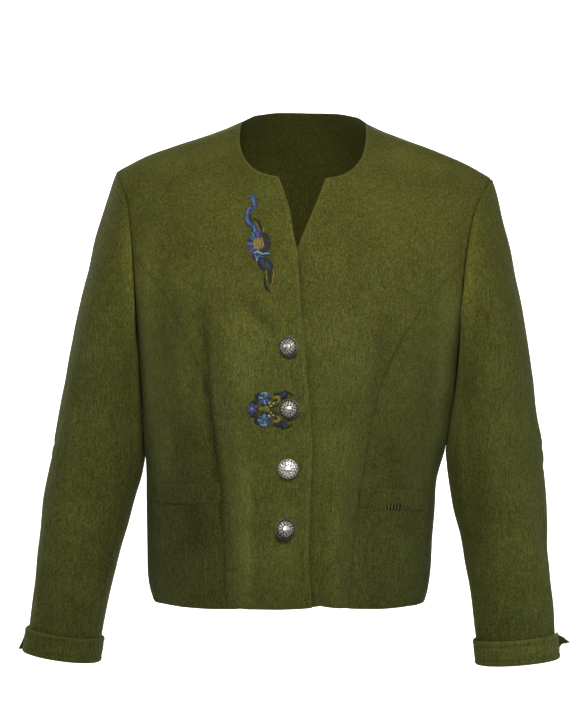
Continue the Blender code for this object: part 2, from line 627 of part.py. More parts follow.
def make_sleeve_rings(side):
    """Rings of points from armhole to cuff, and the armhole's points with their normals and outward ways."""
    loop = armhole_loop(side)
    degrees = column_degrees()
    start_x = smooth_curve(HEAD_START["round_degrees"], HEAD_START["x"])
    start_y = smooth_curve(HEAD_START["round_degrees"], HEAD_START["y"])
    start_z = smooth_curve(HEAD_START["round_degrees"], HEAD_START["z"])
    start_pull = smooth_curve(HEAD_START["round_degrees"], HEAD_START["pull"])
    end_pull = smooth_curve(HEAD_END_PULL["round_degrees"], HEAD_END_PULL["pull"])
    down = Vector((side * 0.13, 0.01, -1.0)).normalized()
    edge = [shell(*p) for p in loop]
    rings = []
    for step in HEAD_STEPS:
        ring = []
        for point, around in zip(edge, degrees):
            leave = Vector((side * start_x(around), start_y(around), start_z(around))).normalized()
            end = sleeve_section(side, around, SLEEVE_TOP)
            ring.append(hermite(point, leave * start_pull(around), end, down * end_pull(around), step))
        rings.append(ring)
    for z in RING_HEIGHTS:
        rings.append([sleeve_section(side, swung(around, z), z) for around in degrees])
    for ring in rings[1:]:
        for j, point in enumerate(ring):
            below = max(0.0, edge[j].z - point.z)
            if point.z < UNDERARM + 0.02:
                ring[j] = clear_of_body(point, min(SLEEVE_CLEARANCE, 0.0003 + 0.1 * below))
    return rings


def ring_normals(rings):
    """Outward normal at each point of a stack of closed rings."""
    count = len(rings[0])
    normals = []
    for i, ring in enumerate(rings):
        above, below = rings[max(0, i - 1)], rings[min(len(rings) - 1, i + 1)]
        centre = sum(ring, Vector()) / count
        row = []
        for j in range(count):
            around = ring[(j + 1) % count] - ring[j - 1]
            lengthwise = below[j] - above[j]
            normal = around.cross(lengthwise).normalized()
            row.append(normal if normal.dot(ring[j] - centre) > 0 else -normal)
        normals.append(row)
    return normals


def seat_on_armhole(side, rings, normals):
    """Moves the first ring off the body panels' edges, so that the two walls meet without touching."""
    loop = armhole_loop(side)
    edge = [shell(*p) for p in loop]
    edge_normals = [shell_normal(shell, *p) for p in loop]
    count = len(edge)
    middle = sum(edge, Vector()) / count
    for j in range(count):
        along = (edge[(j + 1) % count] - edge[j - 1]).normalized()
        outward = along.cross(edge_normals[j]).normalized()
        if outward.dot(middle - edge[j]) < 0:
            outward = -outward
        leaving = rings[1][j] - edge[j]
        leaving = (leaving - along * leaving.dot(along)).normalized()
        onward, upward = leaving.dot(outward), leaving.dot(edge_normals[j])
        if onward < 0:
            offset = (outward * upward - edge_normals[j] * onward).normalized() * SEAM_GAP
        else:
            offset = outward * (SEAM_GAP + WALL * max(0.0, normals[0][j].dot(outward)))
        rings[0][j] = edge[j] + offset


def make_sleeve(side, prefix):
    """Upper and under sleeve, parted at the front seam and the back seam. The upper one is two solids, its head and the rest."""
    rings = make_sleeve_rings(side)
    normals = ring_normals(rings)
    seat_on_armhole(side, rings, normals)
    count = len(rings[0])
    upper = [k % count for k in range(BACK_SEAM_COLUMN, count + FRONT_SEAM_COLUMN + 1)]
    under = list(range(FRONT_SEAM_COLUMN, BACK_SEAM_COLUMN + 1))
    whole, head, rest = slice(None), slice(None, HEAD_ROWS + 1), slice(HEAD_ROWS, None)
    for name, columns, rows, ends in (
        (prefix + "_sleeve_head", upper, head, ("inner", "outer", "top")),
        (prefix + "_upper_sleeve", upper, rest, ("inner", "outer", "bottom")),
        (prefix + "_under_sleeve", under, whole, ("inner", "outer")),
    ):
        grid = [[ring[k] for k in columns] for ring in rings[rows]]
        grid_normals = [[row[k] for k in columns] for row in normals[rows]]
        outside = drawn_in(grid, grid_normals, ends)
        inside = [[p - n * WALL for p, n in zip(ps, ns)] for ps, ns in zip(outside, grid_normals)]
        wall(name, outside, inside)


def make_cuff(side, name):
    """A band turned up round the sleeve's end, slit at the back seam, with its back end standing off."""
    degrees = column_degrees()
    count = len(degrees)
    turned = [d + 360.0 * lap for lap in (0, 1) for d in degrees]
    stops = [swung(turned[k], SLEEVE_END) for k in range(BACK_SEAM_COLUMN, BACK_SEAM_COLUMN + count + 1)]
    stops[0] += CUFF_SLIT_DEGREES
    stops[-1] -= CUFF_SLIT_DEGREES
    flare_at = smooth_curve((0.0, 0.5, 1.0), CUFF_FLARE[side])
    droop_at = smooth_curve((0.0, 0.5, 1.0), CUFF_DROOP[side])
    outside, inside = [], []
    for step in (0.0, 1 / 3, 2 / 3, 1.0):
        z = SLEEVE_END - 0.001 + CUFF_DEPTH * step
        outer_row, inner_row = [], []
        for k, around in enumerate(stops):
            loose = smooth_step(len(stops) - 4, len(stops) - 1, k)
            flare = flare_at(step) * loose
            droop = Vector((0.0, 0.0, -droop_at(step) * loose))
            inner_row.append(sleeve_section(side, around, z, LAYER_GAP + flare) + droop)
            outer_row.append(sleeve_section(side, around, z, LAYER_GAP + CUFF_WALL + flare) + droop)
        outside.append(outer_row)
        inside.append(inner_row)
    return wall(name, outside, inside)


# ---------------------------------------------------------------- things on the panels
def cloth_under(x, z, panels):
    """Point and normal of the outermost of these panels' faces that is seen at (x, z) from the front."""
    hits = []
    for made in panels:
        spot, normal, _, _ = made.ray_cast(Vector((x, -1.0, z)), Vector((0.0, 1.0, 0.0)))
        if spot is not None:
            hits.append((spot.y, spot, normal))
    return min(hits, key=lambda hit: hit[0])[1:]


def make_welt(side, name, panels):
    """A pocket's welt, laid on the fronts."""
    outside, inside = [], []
    for down in (1.0, 0.5, 0.0):
        outer_row, inner_row = [], []
        for step in spread(0.0, 1.0, WELT["columns"]):
            x = side * mix(*WELT["x"], step)
            z = mix(*WELT["z"], step) - down * WELT["height"]
            point, _ = cloth_under(x, z, panels)
            normal = shell_normal(plain_shell, *place(x, z))
            inner_row.append(point + normal * WELT["lift"])
            outer_row.append(point + normal * (WELT["lift"] + WELT["wall"]))
        outside.append(outer_row)
        inside.append(inner_row)
    return wall(name, outside, inside)


def make_button(name, x, height, panels):
    """A domed metal button on its shank, seated on the right front."""
    profile = (
        (0.0030, BUTTON_SEAT),
        (0.0030, 0.0019),
        (0.0104, 0.0019),
        (BUTTON_RADIUS, 0.0026),
        (0.0107, 0.0040),
        (0.0085, 0.0056),
        (0.0052, 0.0068),
    )
    top = 0.0073
    seat, _ = cloth_under(x, height, panels)
    normal = shell_normal(plain_shell, *place(x, height))
    turn = Vector((0, 0, 1)).rotation_difference(normal)
    points = []
    for radius, rise in profile:
        for k in range(BUTTON_SIDES):
            around = 2 * math.pi * k / BUTTON_SIDES
            local = Vector((radius * math.cos(around), radius * math.sin(around), rise))
            points.append(seat + turn @ local)
    points.append(seat + turn @ Vector((0, 0, top)))
    faces = [tuple(reversed(range(BUTTON_SIDES)))]
    for i in range(len(profile) - 1):
        for k in range(BUTTON_SIDES):
            following = (k + 1) % BUTTON_SIDES
            a, b = i * BUTTON_SIDES + k, i * BUTTON_SIDES + following
            faces.append((a, b, b + BUTTON_SIDES, a + BUTTON_SIDES))
    last = (len(profile) - 1) * BUTTON_SIDES
    for k in range(BUTTON_SIDES):
        faces.append((last + k, last + (k + 1) % BUTTON_SIDES, len(points) - 1))
    return add_object(name, points, faces, SILVER)


def main():
    for old in list(bpy.data.objects):
        bpy.data.objects.remove(old)
    fronts = [
        make_front(-1, "right_front", RIGHT_EDGE, RIGHT_V, RIGHT_NECKLINE, overlap_lift),
        make_front(1, "left_front", LEFT_EDGE, LEFT_V, LEFT_NECKLINE),
        make_side_front(-1, "right_side_front"),
        make_side_front(1, "left_side_front"),
    ]
    make_back("back")
    for side, prefix in ((-1, "right"), (1, "left")):
        make_sleeve(side, prefix)
        make_cuff(side, prefix + "_cuff")
    graph = bpy.context.evaluated_depsgraph_get()
    panels = [BVHTree.FromObject(front, graph) for front in fronts]
    for side, prefix in ((-1, "right"), (1, "left")):
        make_welt(side, prefix + "_pocket_welt", panels)
    for number, (x, height) in enumerate(BUTTONS, start=1):
        make_button(f"button_{number}", x, height, panels)


main()
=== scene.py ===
# %% [markdown]
# # A Tyrolean loden jacket
# The jacket is cut from thirteen pieces of loden, a wool cloth that is woven and then fulled
# until it felts. The solids are already the right size and in the right place, but they are
# plain. Here each one gets a finer copy, with rolled edges, pressed seams and soft creases, and
# then the things that a needle adds: topstitching, embroidery and buttons.
#
# Everything is in metres. +Z is up, the wearer faces -Y, and +X is the wearer's left.

# %% Load the solids
import math

import bmesh
import bpy
import numpy as np
from mathutils import Matrix, Vector
from mathutils.bvhtree import BVHTree


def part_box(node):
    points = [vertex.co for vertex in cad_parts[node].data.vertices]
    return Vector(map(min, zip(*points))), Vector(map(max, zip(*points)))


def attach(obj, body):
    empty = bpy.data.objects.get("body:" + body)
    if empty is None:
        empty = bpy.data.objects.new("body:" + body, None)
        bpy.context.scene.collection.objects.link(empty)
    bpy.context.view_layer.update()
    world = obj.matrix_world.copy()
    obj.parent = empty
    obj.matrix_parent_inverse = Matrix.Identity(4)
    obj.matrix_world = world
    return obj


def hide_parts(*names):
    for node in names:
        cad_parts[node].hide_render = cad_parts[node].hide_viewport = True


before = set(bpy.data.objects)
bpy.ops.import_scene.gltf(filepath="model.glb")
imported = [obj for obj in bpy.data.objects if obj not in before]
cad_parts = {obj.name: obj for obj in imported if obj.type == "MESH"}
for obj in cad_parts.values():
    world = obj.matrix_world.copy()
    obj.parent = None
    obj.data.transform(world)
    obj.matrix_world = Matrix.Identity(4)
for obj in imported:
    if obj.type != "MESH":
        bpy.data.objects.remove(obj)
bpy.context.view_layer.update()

# %% [markdown]
# ## Colours and nodes
# A paint program shows colours as sRGB hex codes, while light is added up in linear numbers, so
# one function turns the first into the second. A second one adds a node of any kind, sets it and
# links it. Every material and every tree of Geometry Nodes below is made with it.


# %% Colour, node and object helpers
def linear(code):
    """The linear colour of an sRGB hex code such as 4b4d22."""
    values = [int(code[i : i + 2], 16) / 255 for i in (0, 2, 4)]
    return (*[v / 12.92 if v <= 0.04045 else ((v + 0.055) / 1.055) ** 2.4 for v in values], 1.0)


def add_node(tree, kind, inputs=(), stops=(), **settings):
    """Adds a node and sets it. Its inputs, by name or in order, get values or other nodes' outputs."""
    node = tree.nodes.new(kind)
    for key, value in settings.items():
        setattr(node, key, value)
    if stops:  # the positions and hex codes of a colour ramp
        elements = node.color_ramp.elements
        while len(elements) < len(stops):
            elements.new(0.5)
        for element, (position, code) in zip(elements, stops):
            element.position, element.color = position, linear(code)
    for key, value in inputs.items() if isinstance(inputs, dict) else enumerate(inputs):
        if isinstance(value, bpy.types.NodeSocket):
            tree.links.new(value, node.inputs[key])
        else:
            node.inputs[key].default_value = value
    return node


def new_material(name):
    """A material without nodes, and its tree."""
    material = bpy.data.materials.new(name)
    material.use_nodes = True
    material.node_tree.nodes.clear()
    return material, material.node_tree


def put_in_scene(name, data):
    """An object in the scene that shows a mesh, a lamp or a camera."""
    made = bpy.data.objects.new(name, data)
    bpy.context.scene.collection.objects.link(made)
    return made


print("olive in linear light:", [round(v, 3) for v in linear("4a4e24")])

# %% [markdown]
# ## Loden
# Loden is fulled wool: the weave is hidden under a short felted nap. It never shines, so its
# roughness is near 1 and its light edge comes from sheen, which stands for the fibres that stick
# out. The yarn is a mixture of dyed fibres, so the green breaks up, close to, into dark, light
# and a few brownish hairs, all drawn a little out along the hang of the cloth. Fibres are 0.03 mm
# thick, too fine to show, so the finest pattern here is drawn at 0.4 mm.
#
# Four values are painted on the cloth's points: inside is 1 on the face that nobody sees, where it
# paints shade, worn is 1 on the folded edges, where the nap is rubbed, deep is 1 down in a seam,
# where it paints shade, and the fourth is painted light and shade, above 0 lighter and below 0 darker.


# %% The loden's tables
LODEN_TONES = ((0.36, "2c3013"), (0.46, "4a4e24"), (0.54, "5a5e2b"), (0.66, "797c3c"))
CLOUD_TINTS = ((0.30, "e6e8dc"), (0.70, "ffffff"))
MOTTLE_TINTS = ((0.36, "f2e6df"), (0.50, "f8f4ee"), (0.64, "e9fcee"))
# painted light: the shoulders are a little yellower and the cloth lower down bluer, as the light from above falls: red
# and blue at the lower and the upper height
WARM_LIGHT_HEIGHTS = {"From Min": -0.31, "From Max": -0.13}
WARM_LIGHT_TINT = ((0.955, 1.02), (1.24, 0.97))
UNPAINTED_TONE = 1.19  # how light the cloth is where no light or shade is painted
# flecks: width in mm, shift, threshold, colour, amount
LODEN_FLECKS = ((0.9, 11.0, 0.60, "8b8750", 4.0), (1.1, 23.0, 0.62, "5a4424", 4.0), (0.8, 31.0, 0.63, "1f2412", 4.0))
# what wear and painted shade do to it: worn is wear, deep is shade painted in seams, inside is shade painted on the
# inner face; the painted value, its amount and its colour
LODEN_WEAR_AND_SHADE = (("worn", 0.22, "7d7f4a"), ("deep", 0.30, "1d1f0d"), ("inside", 0.45, "26270f"))


def grains(tree, where, millimetres, stretch=1.0, detail=2.0, shift=0.0):
    """A pattern of grains about so many millimetres wide, and longer upwards by stretch."""
    moved = {"Vector": where, "Location": (shift, shift * 0.7, -shift), "Scale": (1, 1, 1 / stretch)}
    place = add_node(tree, "ShaderNodeMapping", moved).outputs[0]
    pattern = {"Vector": place, "Scale": 1000 / millimetres, "Detail": detail, "Roughness": 0.55}
    return add_node(tree, "ShaderNodeTexNoise", pattern).outputs["Fac"]


# %% The loden material
def make_loden():
    """Fulled wool in a heathered olive green."""
    material, tree = new_material("loden")
    where = add_node(tree, "ShaderNodeTexCoord").outputs["Object"]
    yarn = grains(tree, where, 1.5, stretch=1.8, detail=3.0)
    fibre = grains(tree, where, 0.45, stretch=2.5, shift=3.1)
    streak = grains(tree, where, 1.2, stretch=14.0, shift=7.7)
    cloud = grains(tree, where, 42.0, shift=1.3)
    mottle = grains(tree, where, 6.0, stretch=1.3, detail=3.0, shift=5.9)
    mixed, relief = 0.0, 0.0
    for part, share in ((yarn, 0.42), (fibre, 0.30), (streak, 0.28)):
        mixed = add_node(tree, "ShaderNodeMath", [part, share, mixed], operation="MULTIPLY_ADD").outputs[0]
    for part, share in ((yarn, 0.8), (fibre, 0.6)):
        relief = add_node(tree, "ShaderNodeMath", [part, share, relief], operation="MULTIPLY_ADD").outputs[0]
    bump = add_node(tree, "ShaderNodeBump", {"Height": relief, "Strength": 0.45, "Distance": 0.0006})

    # what multiplies the colour: two soft patterns, a painted warm light on the shoulders, and painted light and shade
    height = add_node(tree, "ShaderNodeSeparateXYZ", [where]).outputs["Z"]
    warm_light_tints = []
    for low, high in WARM_LIGHT_TINT:
        reach = {"Value": height, **WARM_LIGHT_HEIGHTS, "To Min": low, "To Max": high}
        warm_light_tints.append(add_node(tree, "ShaderNodeMapRange", reach, interpolation_type="SMOOTHSTEP").outputs[0])
    painted_light_and_shade = add_node(tree, "ShaderNodeAttribute", attribute_name="painted_light_and_shade").outputs["Fac"]
    painted_light_and_shade = add_node(tree, "ShaderNodeMath", [painted_light_and_shade, UNPAINTED_TONE], operation="ADD").outputs[0]
    tints = [
        add_node(tree, "ShaderNodeValToRGB", [cloud], CLOUD_TINTS),
        add_node(tree, "ShaderNodeValToRGB", [mottle], MOTTLE_TINTS),
        add_node(tree, "ShaderNodeCombineColor", [warm_light_tints[0], 1.0, warm_light_tints[1]]),
        add_node(tree, "ShaderNodeCombineColor", [painted_light_and_shade, painted_light_and_shade, painted_light_and_shade]),
    ]
    colour = add_node(tree, "ShaderNodeValToRGB", [mixed], LODEN_TONES).outputs[0]
    for tint in tints:
        both = {0: 1.0, 6: colour, 7: tint.outputs[0]}
        colour = add_node(tree, "ShaderNodeMix", both, data_type="RGBA", blend_type="MULTIPLY").outputs[2]

    # what lies over it: the flecks, then wear and shade
    layers = []
    for millimetres, shift, low, code, amount in LODEN_FLECKS:
        fleck = grains(tree, where, millimetres, stretch=1.6, detail=1.0, shift=shift)
        for operation, number in (("SUBTRACT", low), ("MULTIPLY", amount)):
            fleck = add_node(tree, "ShaderNodeMath", [fleck, number], operation=operation, use_clamp=True).outputs[0]
        layers.append((fleck, code))
    for name, amount, code in LODEN_WEAR_AND_SHADE:
        share = add_node(tree, "ShaderNodeAttribute", attribute_name=name).outputs["Fac"]
        layers.append((add_node(tree, "ShaderNodeMath", [share, amount], operation="MULTIPLY").outputs[0], code))
    for share, code in layers:
        both = {0: share, 6: colour, 7: linear(code)}
        colour = add_node(tree, "ShaderNodeMix", both, data_type="RGBA").outputs[2]
    wool = {
        "Base Color": colour,
        "Roughness": 0.95,
        "Specular IOR Level": 0.18,
        "Sheen Weight": 0.16,
        "Sheen Roughness": 0.45,
        "Sheen Tint": linear("a6aa80"),
        "Normal": bump.outputs["Normal"],
    }
    shader = add_node(tree, "ShaderNodeBsdfPrincipled", wool)
    add_node(tree, "ShaderNodeOutputMaterial", {"Surface": shader.outputs[0]})
    return material


LODEN = make_loden()
print("loden, nodes:", len(LODEN.node_tree.nodes))

# %% [markdown]
# ## Reading a panel back as a grid
# Each panel of cloth is a wall: an outer face, an inner face, and an edge all round. Both faces
# are grids of points. If the grid is known, the cloth can be drawn again as finely as needed, with
# points exactly where a seam or a row of stitches runs. That is why this way was chosen over a
# Subdivision Surface modifier, which would round the corners off and pull the seams apart.
#
# The wall is cut into its faces wherever it bends sharply. The two largest pieces are the cloth's
# two faces. Their outline has four corners, found by trying each start and taking the one that
# turns most, and from there the grid is picked up strip by strip.


# %% Panel tables
# name: rows, columns, how its four sides end (bottom, top, first column, last column)
PANELS = {
    "right_front": (29, 13, "hem", "seam", "stitched", "seam"),
    "left_front": (29, 13, "hem", "seam", "stitched", "seam"),
    "right_side_front": (18, 6, "hem", "seam", "seam", "seam"),
    "left_side_front": (18, 6, "hem", "seam", "seam", "seam"),
    "back": (30, 22, "hem", "neck", "seam", "seam"),
    "right_upper_sleeve": (15, 16, "hem", "seam", "seam", "seam"),
    "left_upper_sleeve": (15, 16, "hem", "seam", "seam", "seam"),
    "right_under_sleeve": (24, 13, "hem", "seam", "seam", "seam"),
    "left_under_sleeve": (24, 13, "hem", "seam", "seam", "seam"),
    "right_cuff": (3, 29, "stitched", "stitched", "stitched", "stitched"),
    "left_cuff": (3, 29, "stitched", "stitched", "stitched", "stitched"),
    "right_pocket_welt": (2, 11, "welt", "welt", "welt", "welt"),
    "left_pocket_welt": (2, 11, "welt", "welt", "welt", "welt"),
}
HEAD_ROWS = 9  # rows of the upper sleeve's head
print("panels to read:", len(PANELS))

# the middle line of a sleeve: height, distance from the centre, depth
SLEEVE_LINE = {
    "z": (-0.630, -0.560, -0.480, -0.400, -0.330, -0.300, -0.060),
    "x": (0.2672, 0.2590, 0.2480, 0.2348, 0.2306, 0.2300, 0.2250),
    "y": (-0.0160, -0.0085, 0.0000, 0.0050, 0.0050, 0.0040, 0.0000),
}


def is_sleeve(name):
    """Whether a panel is part of a sleeve."""
    return "sleeve" in name or "cuff" in name


def middle(points, name):
    """The middle line of the body or sleeve, beside each point."""
    z = points[..., 2]
    if not is_sleeve(name):
        return np.stack([np.zeros_like(z), np.zeros_like(z), z], axis=-1)
    side = -1 if name.startswith("right") else 1
    x = side * np.interp(z, SLEEVE_LINE["z"], SLEEVE_LINE["x"])
    return np.stack([x, np.interp(z, SLEEVE_LINE["z"], SLEEVE_LINE["y"]), z], axis=-1)


# %% The two faces of a panel's wall
BENDS = range(30, 80, 4)  # degrees: how sharp a bend may be inside a face, tried in turn


def cloth_faces(mesh, count):
    """The triangles of a panel's two faces.

    One face is a group of exactly count triangles that no sharp bend crosses, and the other has no
    point in common with it.
    """
    for degrees in BENDS:
        limit, seen, groups = math.radians(degrees), set(), []
        for start in mesh.faces:
            if start in seen:
                continue
            seen.add(start)
            group, stack = [], [start]
            while stack:
                face = stack.pop()
                group.append(face)
                for edge in face.edges:
                    if edge.calc_face_angle(0.0) < limit:
                        for other in edge.link_faces:
                            if other not in seen:
                                seen.add(other)
                                stack.append(other)
            groups.append(group)
        for group in groups:
            if len(group) == count:
                touched = {v for face in group for v in face.verts}
                other = [face for face in mesh.faces if not touched.intersection(face.verts)]
                if len(other) == count:
                    return [group, other]
    raise ValueError("no bend parts the two faces of this panel")


def outline_of(group):
    """The vertices round a group of triangles, in order."""
    inside, following = set(group), {}
    for face in group:
        for loop in face.loops:
            if not any(other in inside for other in loop.edge.link_faces if other != face):
                following[loop.vert] = loop.link_loop_next.vert
    ring = [next(iter(following))]
    while following[ring[-1]] != ring[0]:
        ring.append(following[ring[-1]])
    return ring


def turn_at(ring, i):
    """How sharply the outline turns at one of its points."""
    before, here, after = ring[i - 1].co, ring[i].co, ring[(i + 1) % len(ring)].co
    return (here - before).angle(after - here)


# %% Pick up the grid of a face
def pick_up(group, ring, rows, columns):
    """The grid of vertices of one face, from its outline turned to start at a corner along row 0."""
    at_edge = {}
    for face in group:
        for edge in face.edges:
            at_edge.setdefault(frozenset(edge.verts), []).append(face)
    used, grid = set(), [ring[: columns + 1]]

    def third(a, b):
        face = next(f for f in at_edge[frozenset((a, b))] if f not in used)
        used.add(face)
        return next(v for v in face.verts if v not in (a, b))

    for r in range(rows):
        row, new = grid[-1], [ring[-1 - r]]
        for a, b in zip(row, row[1:]):
            apex = third(a, b)
            if apex == new[-1]:
                new.append(third(new[-1], b))
            else:
                third(a, apex)
                new.append(apex)
        grid.append(new)
    return grid


# %% The grids of a panel
SAME_POINT = 2e-5  # points of a solid's loose triangles that are nearer than this are one


def grids_of(name, rows, columns):
    """The outer and inner grids of a solid, with row 0 lowest and column 0 nearest the front."""
    mesh = bmesh.new()
    mesh.from_mesh(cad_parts[name].data)
    bmesh.ops.remove_doubles(mesh, verts=mesh.verts, dist=SAME_POINT)
    mesh.normal_update()
    faces = cloth_faces(mesh, 2 * rows * columns)

    def outwardness(group):
        total = 0.0
        for face in group:
            centre = face.calc_center_median()
            total += face.calc_area() * face.normal.dot(centre - Vector(middle(np.array(centre), name)))
        return total

    faces.sort(key=outwardness, reverse=True)
    outer_ring = outline_of(faces[0])
    total, best = len(outer_ring), None
    for start in range(total):
        for first in (columns, rows):
            corners = (start, start + first, start + rows + columns, start + first + rows + columns)
            score = sum(turn_at(outer_ring, c % total) for c in corners)
            if first == columns and (best is None or score > best[0]):
                best = (score, start)
    start = best[1]
    outer_ring = outer_ring[start:] + outer_ring[:start]
    inner_ring = outline_of(faces[1])[::-1]
    shifts = []
    for shift in range(total):
        turned = inner_ring[shift:] + inner_ring[:shift]
        shifts.append((sum((a.co - b.co).length for a, b in zip(outer_ring, turned)), shift))
    shift = min(shifts)[1]
    inner_ring = inner_ring[shift:] + inner_ring[:shift]
    outer = np.array([[v.co for v in row] for row in pick_up(faces[0], outer_ring, rows, columns)])
    inner = np.array([[v.co for v in row] for row in pick_up(faces[1], inner_ring, rows, columns)])
    mesh.free()
    if outer[0, :, 2].mean() > outer[-1, :, 2].mean():
        outer, inner = outer[::-1], inner[::-1]
    across = 1 if is_sleeve(name) and "cuff" not in name else 0
    first, last = outer[:, 0, across].mean(), outer[:, -1, across].mean()
    if "front" in name or "welt" in name:
        first, last = abs(first), abs(last)
    if first > last:
        outer, inner = outer[:, ::-1], inner[:, ::-1]
    return outer, inner


def whole_panel(name):
    """The grids of a whole panel. The upper sleeve is two solids that meet in one row."""
    rows, columns = PANELS[name][:2]
    lower = grids_of(name, rows, columns)
    if "upper_sleeve" not in name:
        return lower
    head = grids_of(name.replace("upper_sleeve", "sleeve_head"), HEAD_ROWS, columns)
    return tuple(np.concatenate([a[:-1], (a[-1:] + b[:1]) / 2, b[1:]]) for a, b in zip(lower, head))


# %% [markdown]
# ## Drawing the cloth finer
# Between the grid's points the cloth follows a smooth curve, except at a real corner, such as the
# one between the V and the neckline, where the curve may turn at once. The new lines then lie at
# even steps, and close together near the four edges, at fixed distances from them: a rolled edge
# needs lines at under a millimetre, and the topstitching runs 6 mm in.


# %% Finer lines
STEP = 0.0036  # between the lines of the finer grid
EDGE_LINES = np.array((0.0, 0.00045, 0.0011, 0.0021, 0.0036, 0.0051, 0.0060, 0.0069, 0.0085))
STITCH_LINE = 6  # the number of the line that the topstitching follows
WELT_LINE = 3  # and of the one that it follows on a welt
SLANT_LINE = 8  # the line that shows which way the cloth runs in from an edge


def smooth_between(points, parts):
    """Puts a smooth curve through the points of each column, each step cut into so many parts."""
    chord = points[1:] - points[:-1]
    length = np.linalg.norm(chord, axis=-1, keepdims=True) + 1e-12
    unit = chord / length
    inner = (unit[:-1] * length[1:] + unit[1:] * length[:-1]) / (length[:-1] + length[1:])
    straight = (unit[:-1] * unit[1:]).sum(-1, keepdims=True)
    inner = inner * np.clip((straight - 0.80) / 0.12, 0, 1)  # none at a corner, which stays sharp
    pull = np.concatenate([unit[:1], inner, unit[-1:]])
    t = (np.arange(parts) / parts).reshape(1, parts, *([1] * (points.ndim - 1)))
    p0, p1 = points[:-1, None], points[1:, None]
    m0, m1 = (pull[:-1] * length)[:, None], (pull[1:] * length)[:, None]
    curve = (2 * t**3 - 3 * t**2 + 1) * p0 + (t**3 - 2 * t**2 + t) * m0
    curve = curve + (-2 * t**3 + 3 * t**2) * p1 + (t**3 - t**2) * m1
    flat = curve.reshape(-1, *points.shape[1:])
    return np.concatenate([flat, points[-1:]])


def edge_slant(lines):
    """How square the lines meet their first edge, as the sine of the angle between them."""
    along = np.gradient(lines[0], axis=0)
    inwards = lines[SLANT_LINE] - lines[0]
    cross = np.linalg.norm(np.cross(along, inwards), axis=-1)
    sine = cross / (np.linalg.norm(along, axis=-1) * np.linalg.norm(inwards, axis=-1) + 1e-12)
    for _ in range(12):
        sine = np.convolve(np.pad(sine, 1, mode="edge"), (0.25, 0.5, 0.25), mode="valid")
    return np.clip(sine, 0.6, 1.0)


# %% Lines at even steps
def respaced(outer, inner, keys):
    """Moves the points of each column to even steps, with the edge lines at both ends.

    Gives the two grids, and each point's distance to both ends.
    """
    count, lines = outer.shape[:2]
    low, high = edge_slant(outer), edge_slant(outer[::-1])
    step = np.linalg.norm(outer[1:] - outer[:-1], axis=-1)
    at = np.concatenate([np.zeros((1, lines)), np.cumsum(step, axis=0)])
    keys = [0, *keys, count - 1]
    parts = [max(2, round(float((at[b] - at[a]).mean() / STEP))) for a, b in zip(keys, keys[1:])]
    new_outer, new_inner, from_low, from_high = [], [], [], []
    for j in range(lines):
        s, total = at[:, j], at[-1, j]
        squeeze = min(1.0, total * 0.36 / EDGE_LINES[-1])
        first, last = EDGE_LINES * squeeze / low[j], total - EDGE_LINES[::-1] * squeeze / high[j]
        stops = [first[-1]] + [s[k] for k in keys[1:-1]] + [last[0]]
        places = [first]
        for n, (a, b) in zip(parts, zip(stops, stops[1:])):
            places.append(np.linspace(a, b, n + 1)[1:])
        places = np.concatenate([*places, last[1:]])
        index = np.interp(places, s, np.arange(count))
        whole = np.clip(index.astype(int), 0, count - 2)
        part = (index - whole)[:, None]
        new_outer.append(outer[whole, j] * (1 - part) + outer[whole + 1, j] * part)
        new_inner.append(inner[whole, j] * (1 - part) + inner[whole + 1, j] * part)
        from_low.append(places * low[j])
        from_high.append((total - places) * high[j])
    return tuple(np.stack(x, axis=1) for x in (new_outer, new_inner, from_low, from_high))


def swap(grid):
    """The grid with its rows as columns."""
    return np.swapaxes(grid, 0, 1)


# grid lines that the finer grid keeps exactly: the corner of the neckline, and the ends of the back's neck
CORNER_ROWS = {"right_front": (22,), "left_front": (22,)}
CORNER_COLUMNS = {"back": (6, 16)}


def finer_panel(name):
    """The finer outer and inner grids of a panel, and the distance of each point to its four sides."""
    outer, inner = whole_panel(name)
    parts = 6 if min(outer.shape[:2]) > 4 else 8
    dense = [swap(smooth_between(swap(smooth_between(grid, parts)), parts)) for grid in (outer, inner)]
    row_keys = [parts * row for row in CORNER_ROWS.get(name, ())]
    column_keys = [parts * column for column in CORNER_COLUMNS.get(name, ())]
    a, b, first, last = respaced(swap(dense[0]), swap(dense[1]), column_keys)
    a, b, first, last = swap(a), swap(b), swap(first), swap(last)
    rows = a.shape[0]
    a, b, bottom, top = respaced(a, b, row_keys)
    place = np.linspace(0, rows - 1, a.shape[0])
    whole = np.clip(place.astype(int), 0, rows - 2)
    part = (place - whole)[:, None]
    first = first[whole] * (1 - part) + first[whole + 1] * part
    last = last[whole] * (1 - part) + last[whole + 1] * part
    return a, b, {"bottom": bottom, "top": top, "first": first, "last": last}


# %% [markdown]
# ## Edges, seams and stitched lines
# A seam is two cut edges sewn together and pressed open, so the cloth rolls down into a narrow
# valley. A free edge is the cloth turned under: it is round, a little plump, and a row of
# stitches 6 mm in pinches it. All of it can be one number for each point: what share of its half
# thickness the outer face keeps. One function of the distance to the edge gives it.


# %% How thick the cloth is near an edge
NECK_HALF = 0.0748  # half the width of the back's neckline
STITCHED_IN = 0.006  # how far in from an edge its topstitching runs


def bell(distance, centre, width):
    """A soft bump, 1 at its centre."""
    return np.exp(-(((distance - centre) / width) ** 2))


def edge_shape(distance, kind):
    """The share of its half thickness that the outer face keeps near an edge."""
    if kind == "seam":
        return 1 - 0.34 * np.exp(-distance / 0.0009) - 0.12 * np.exp(-distance / 0.0035)
    rolled = 1 - 0.62 * np.exp(-((distance / 0.0009) ** 1.2))
    if kind == "stitched":
        return rolled + 0.10 * bell(distance, 0.0030, 0.0020) - 0.34 * bell(distance, STITCHED_IN, 0.0011)
    if kind == "welt":
        return rolled - 0.25 * bell(distance, 0.0021, 0.0008)
    return rolled


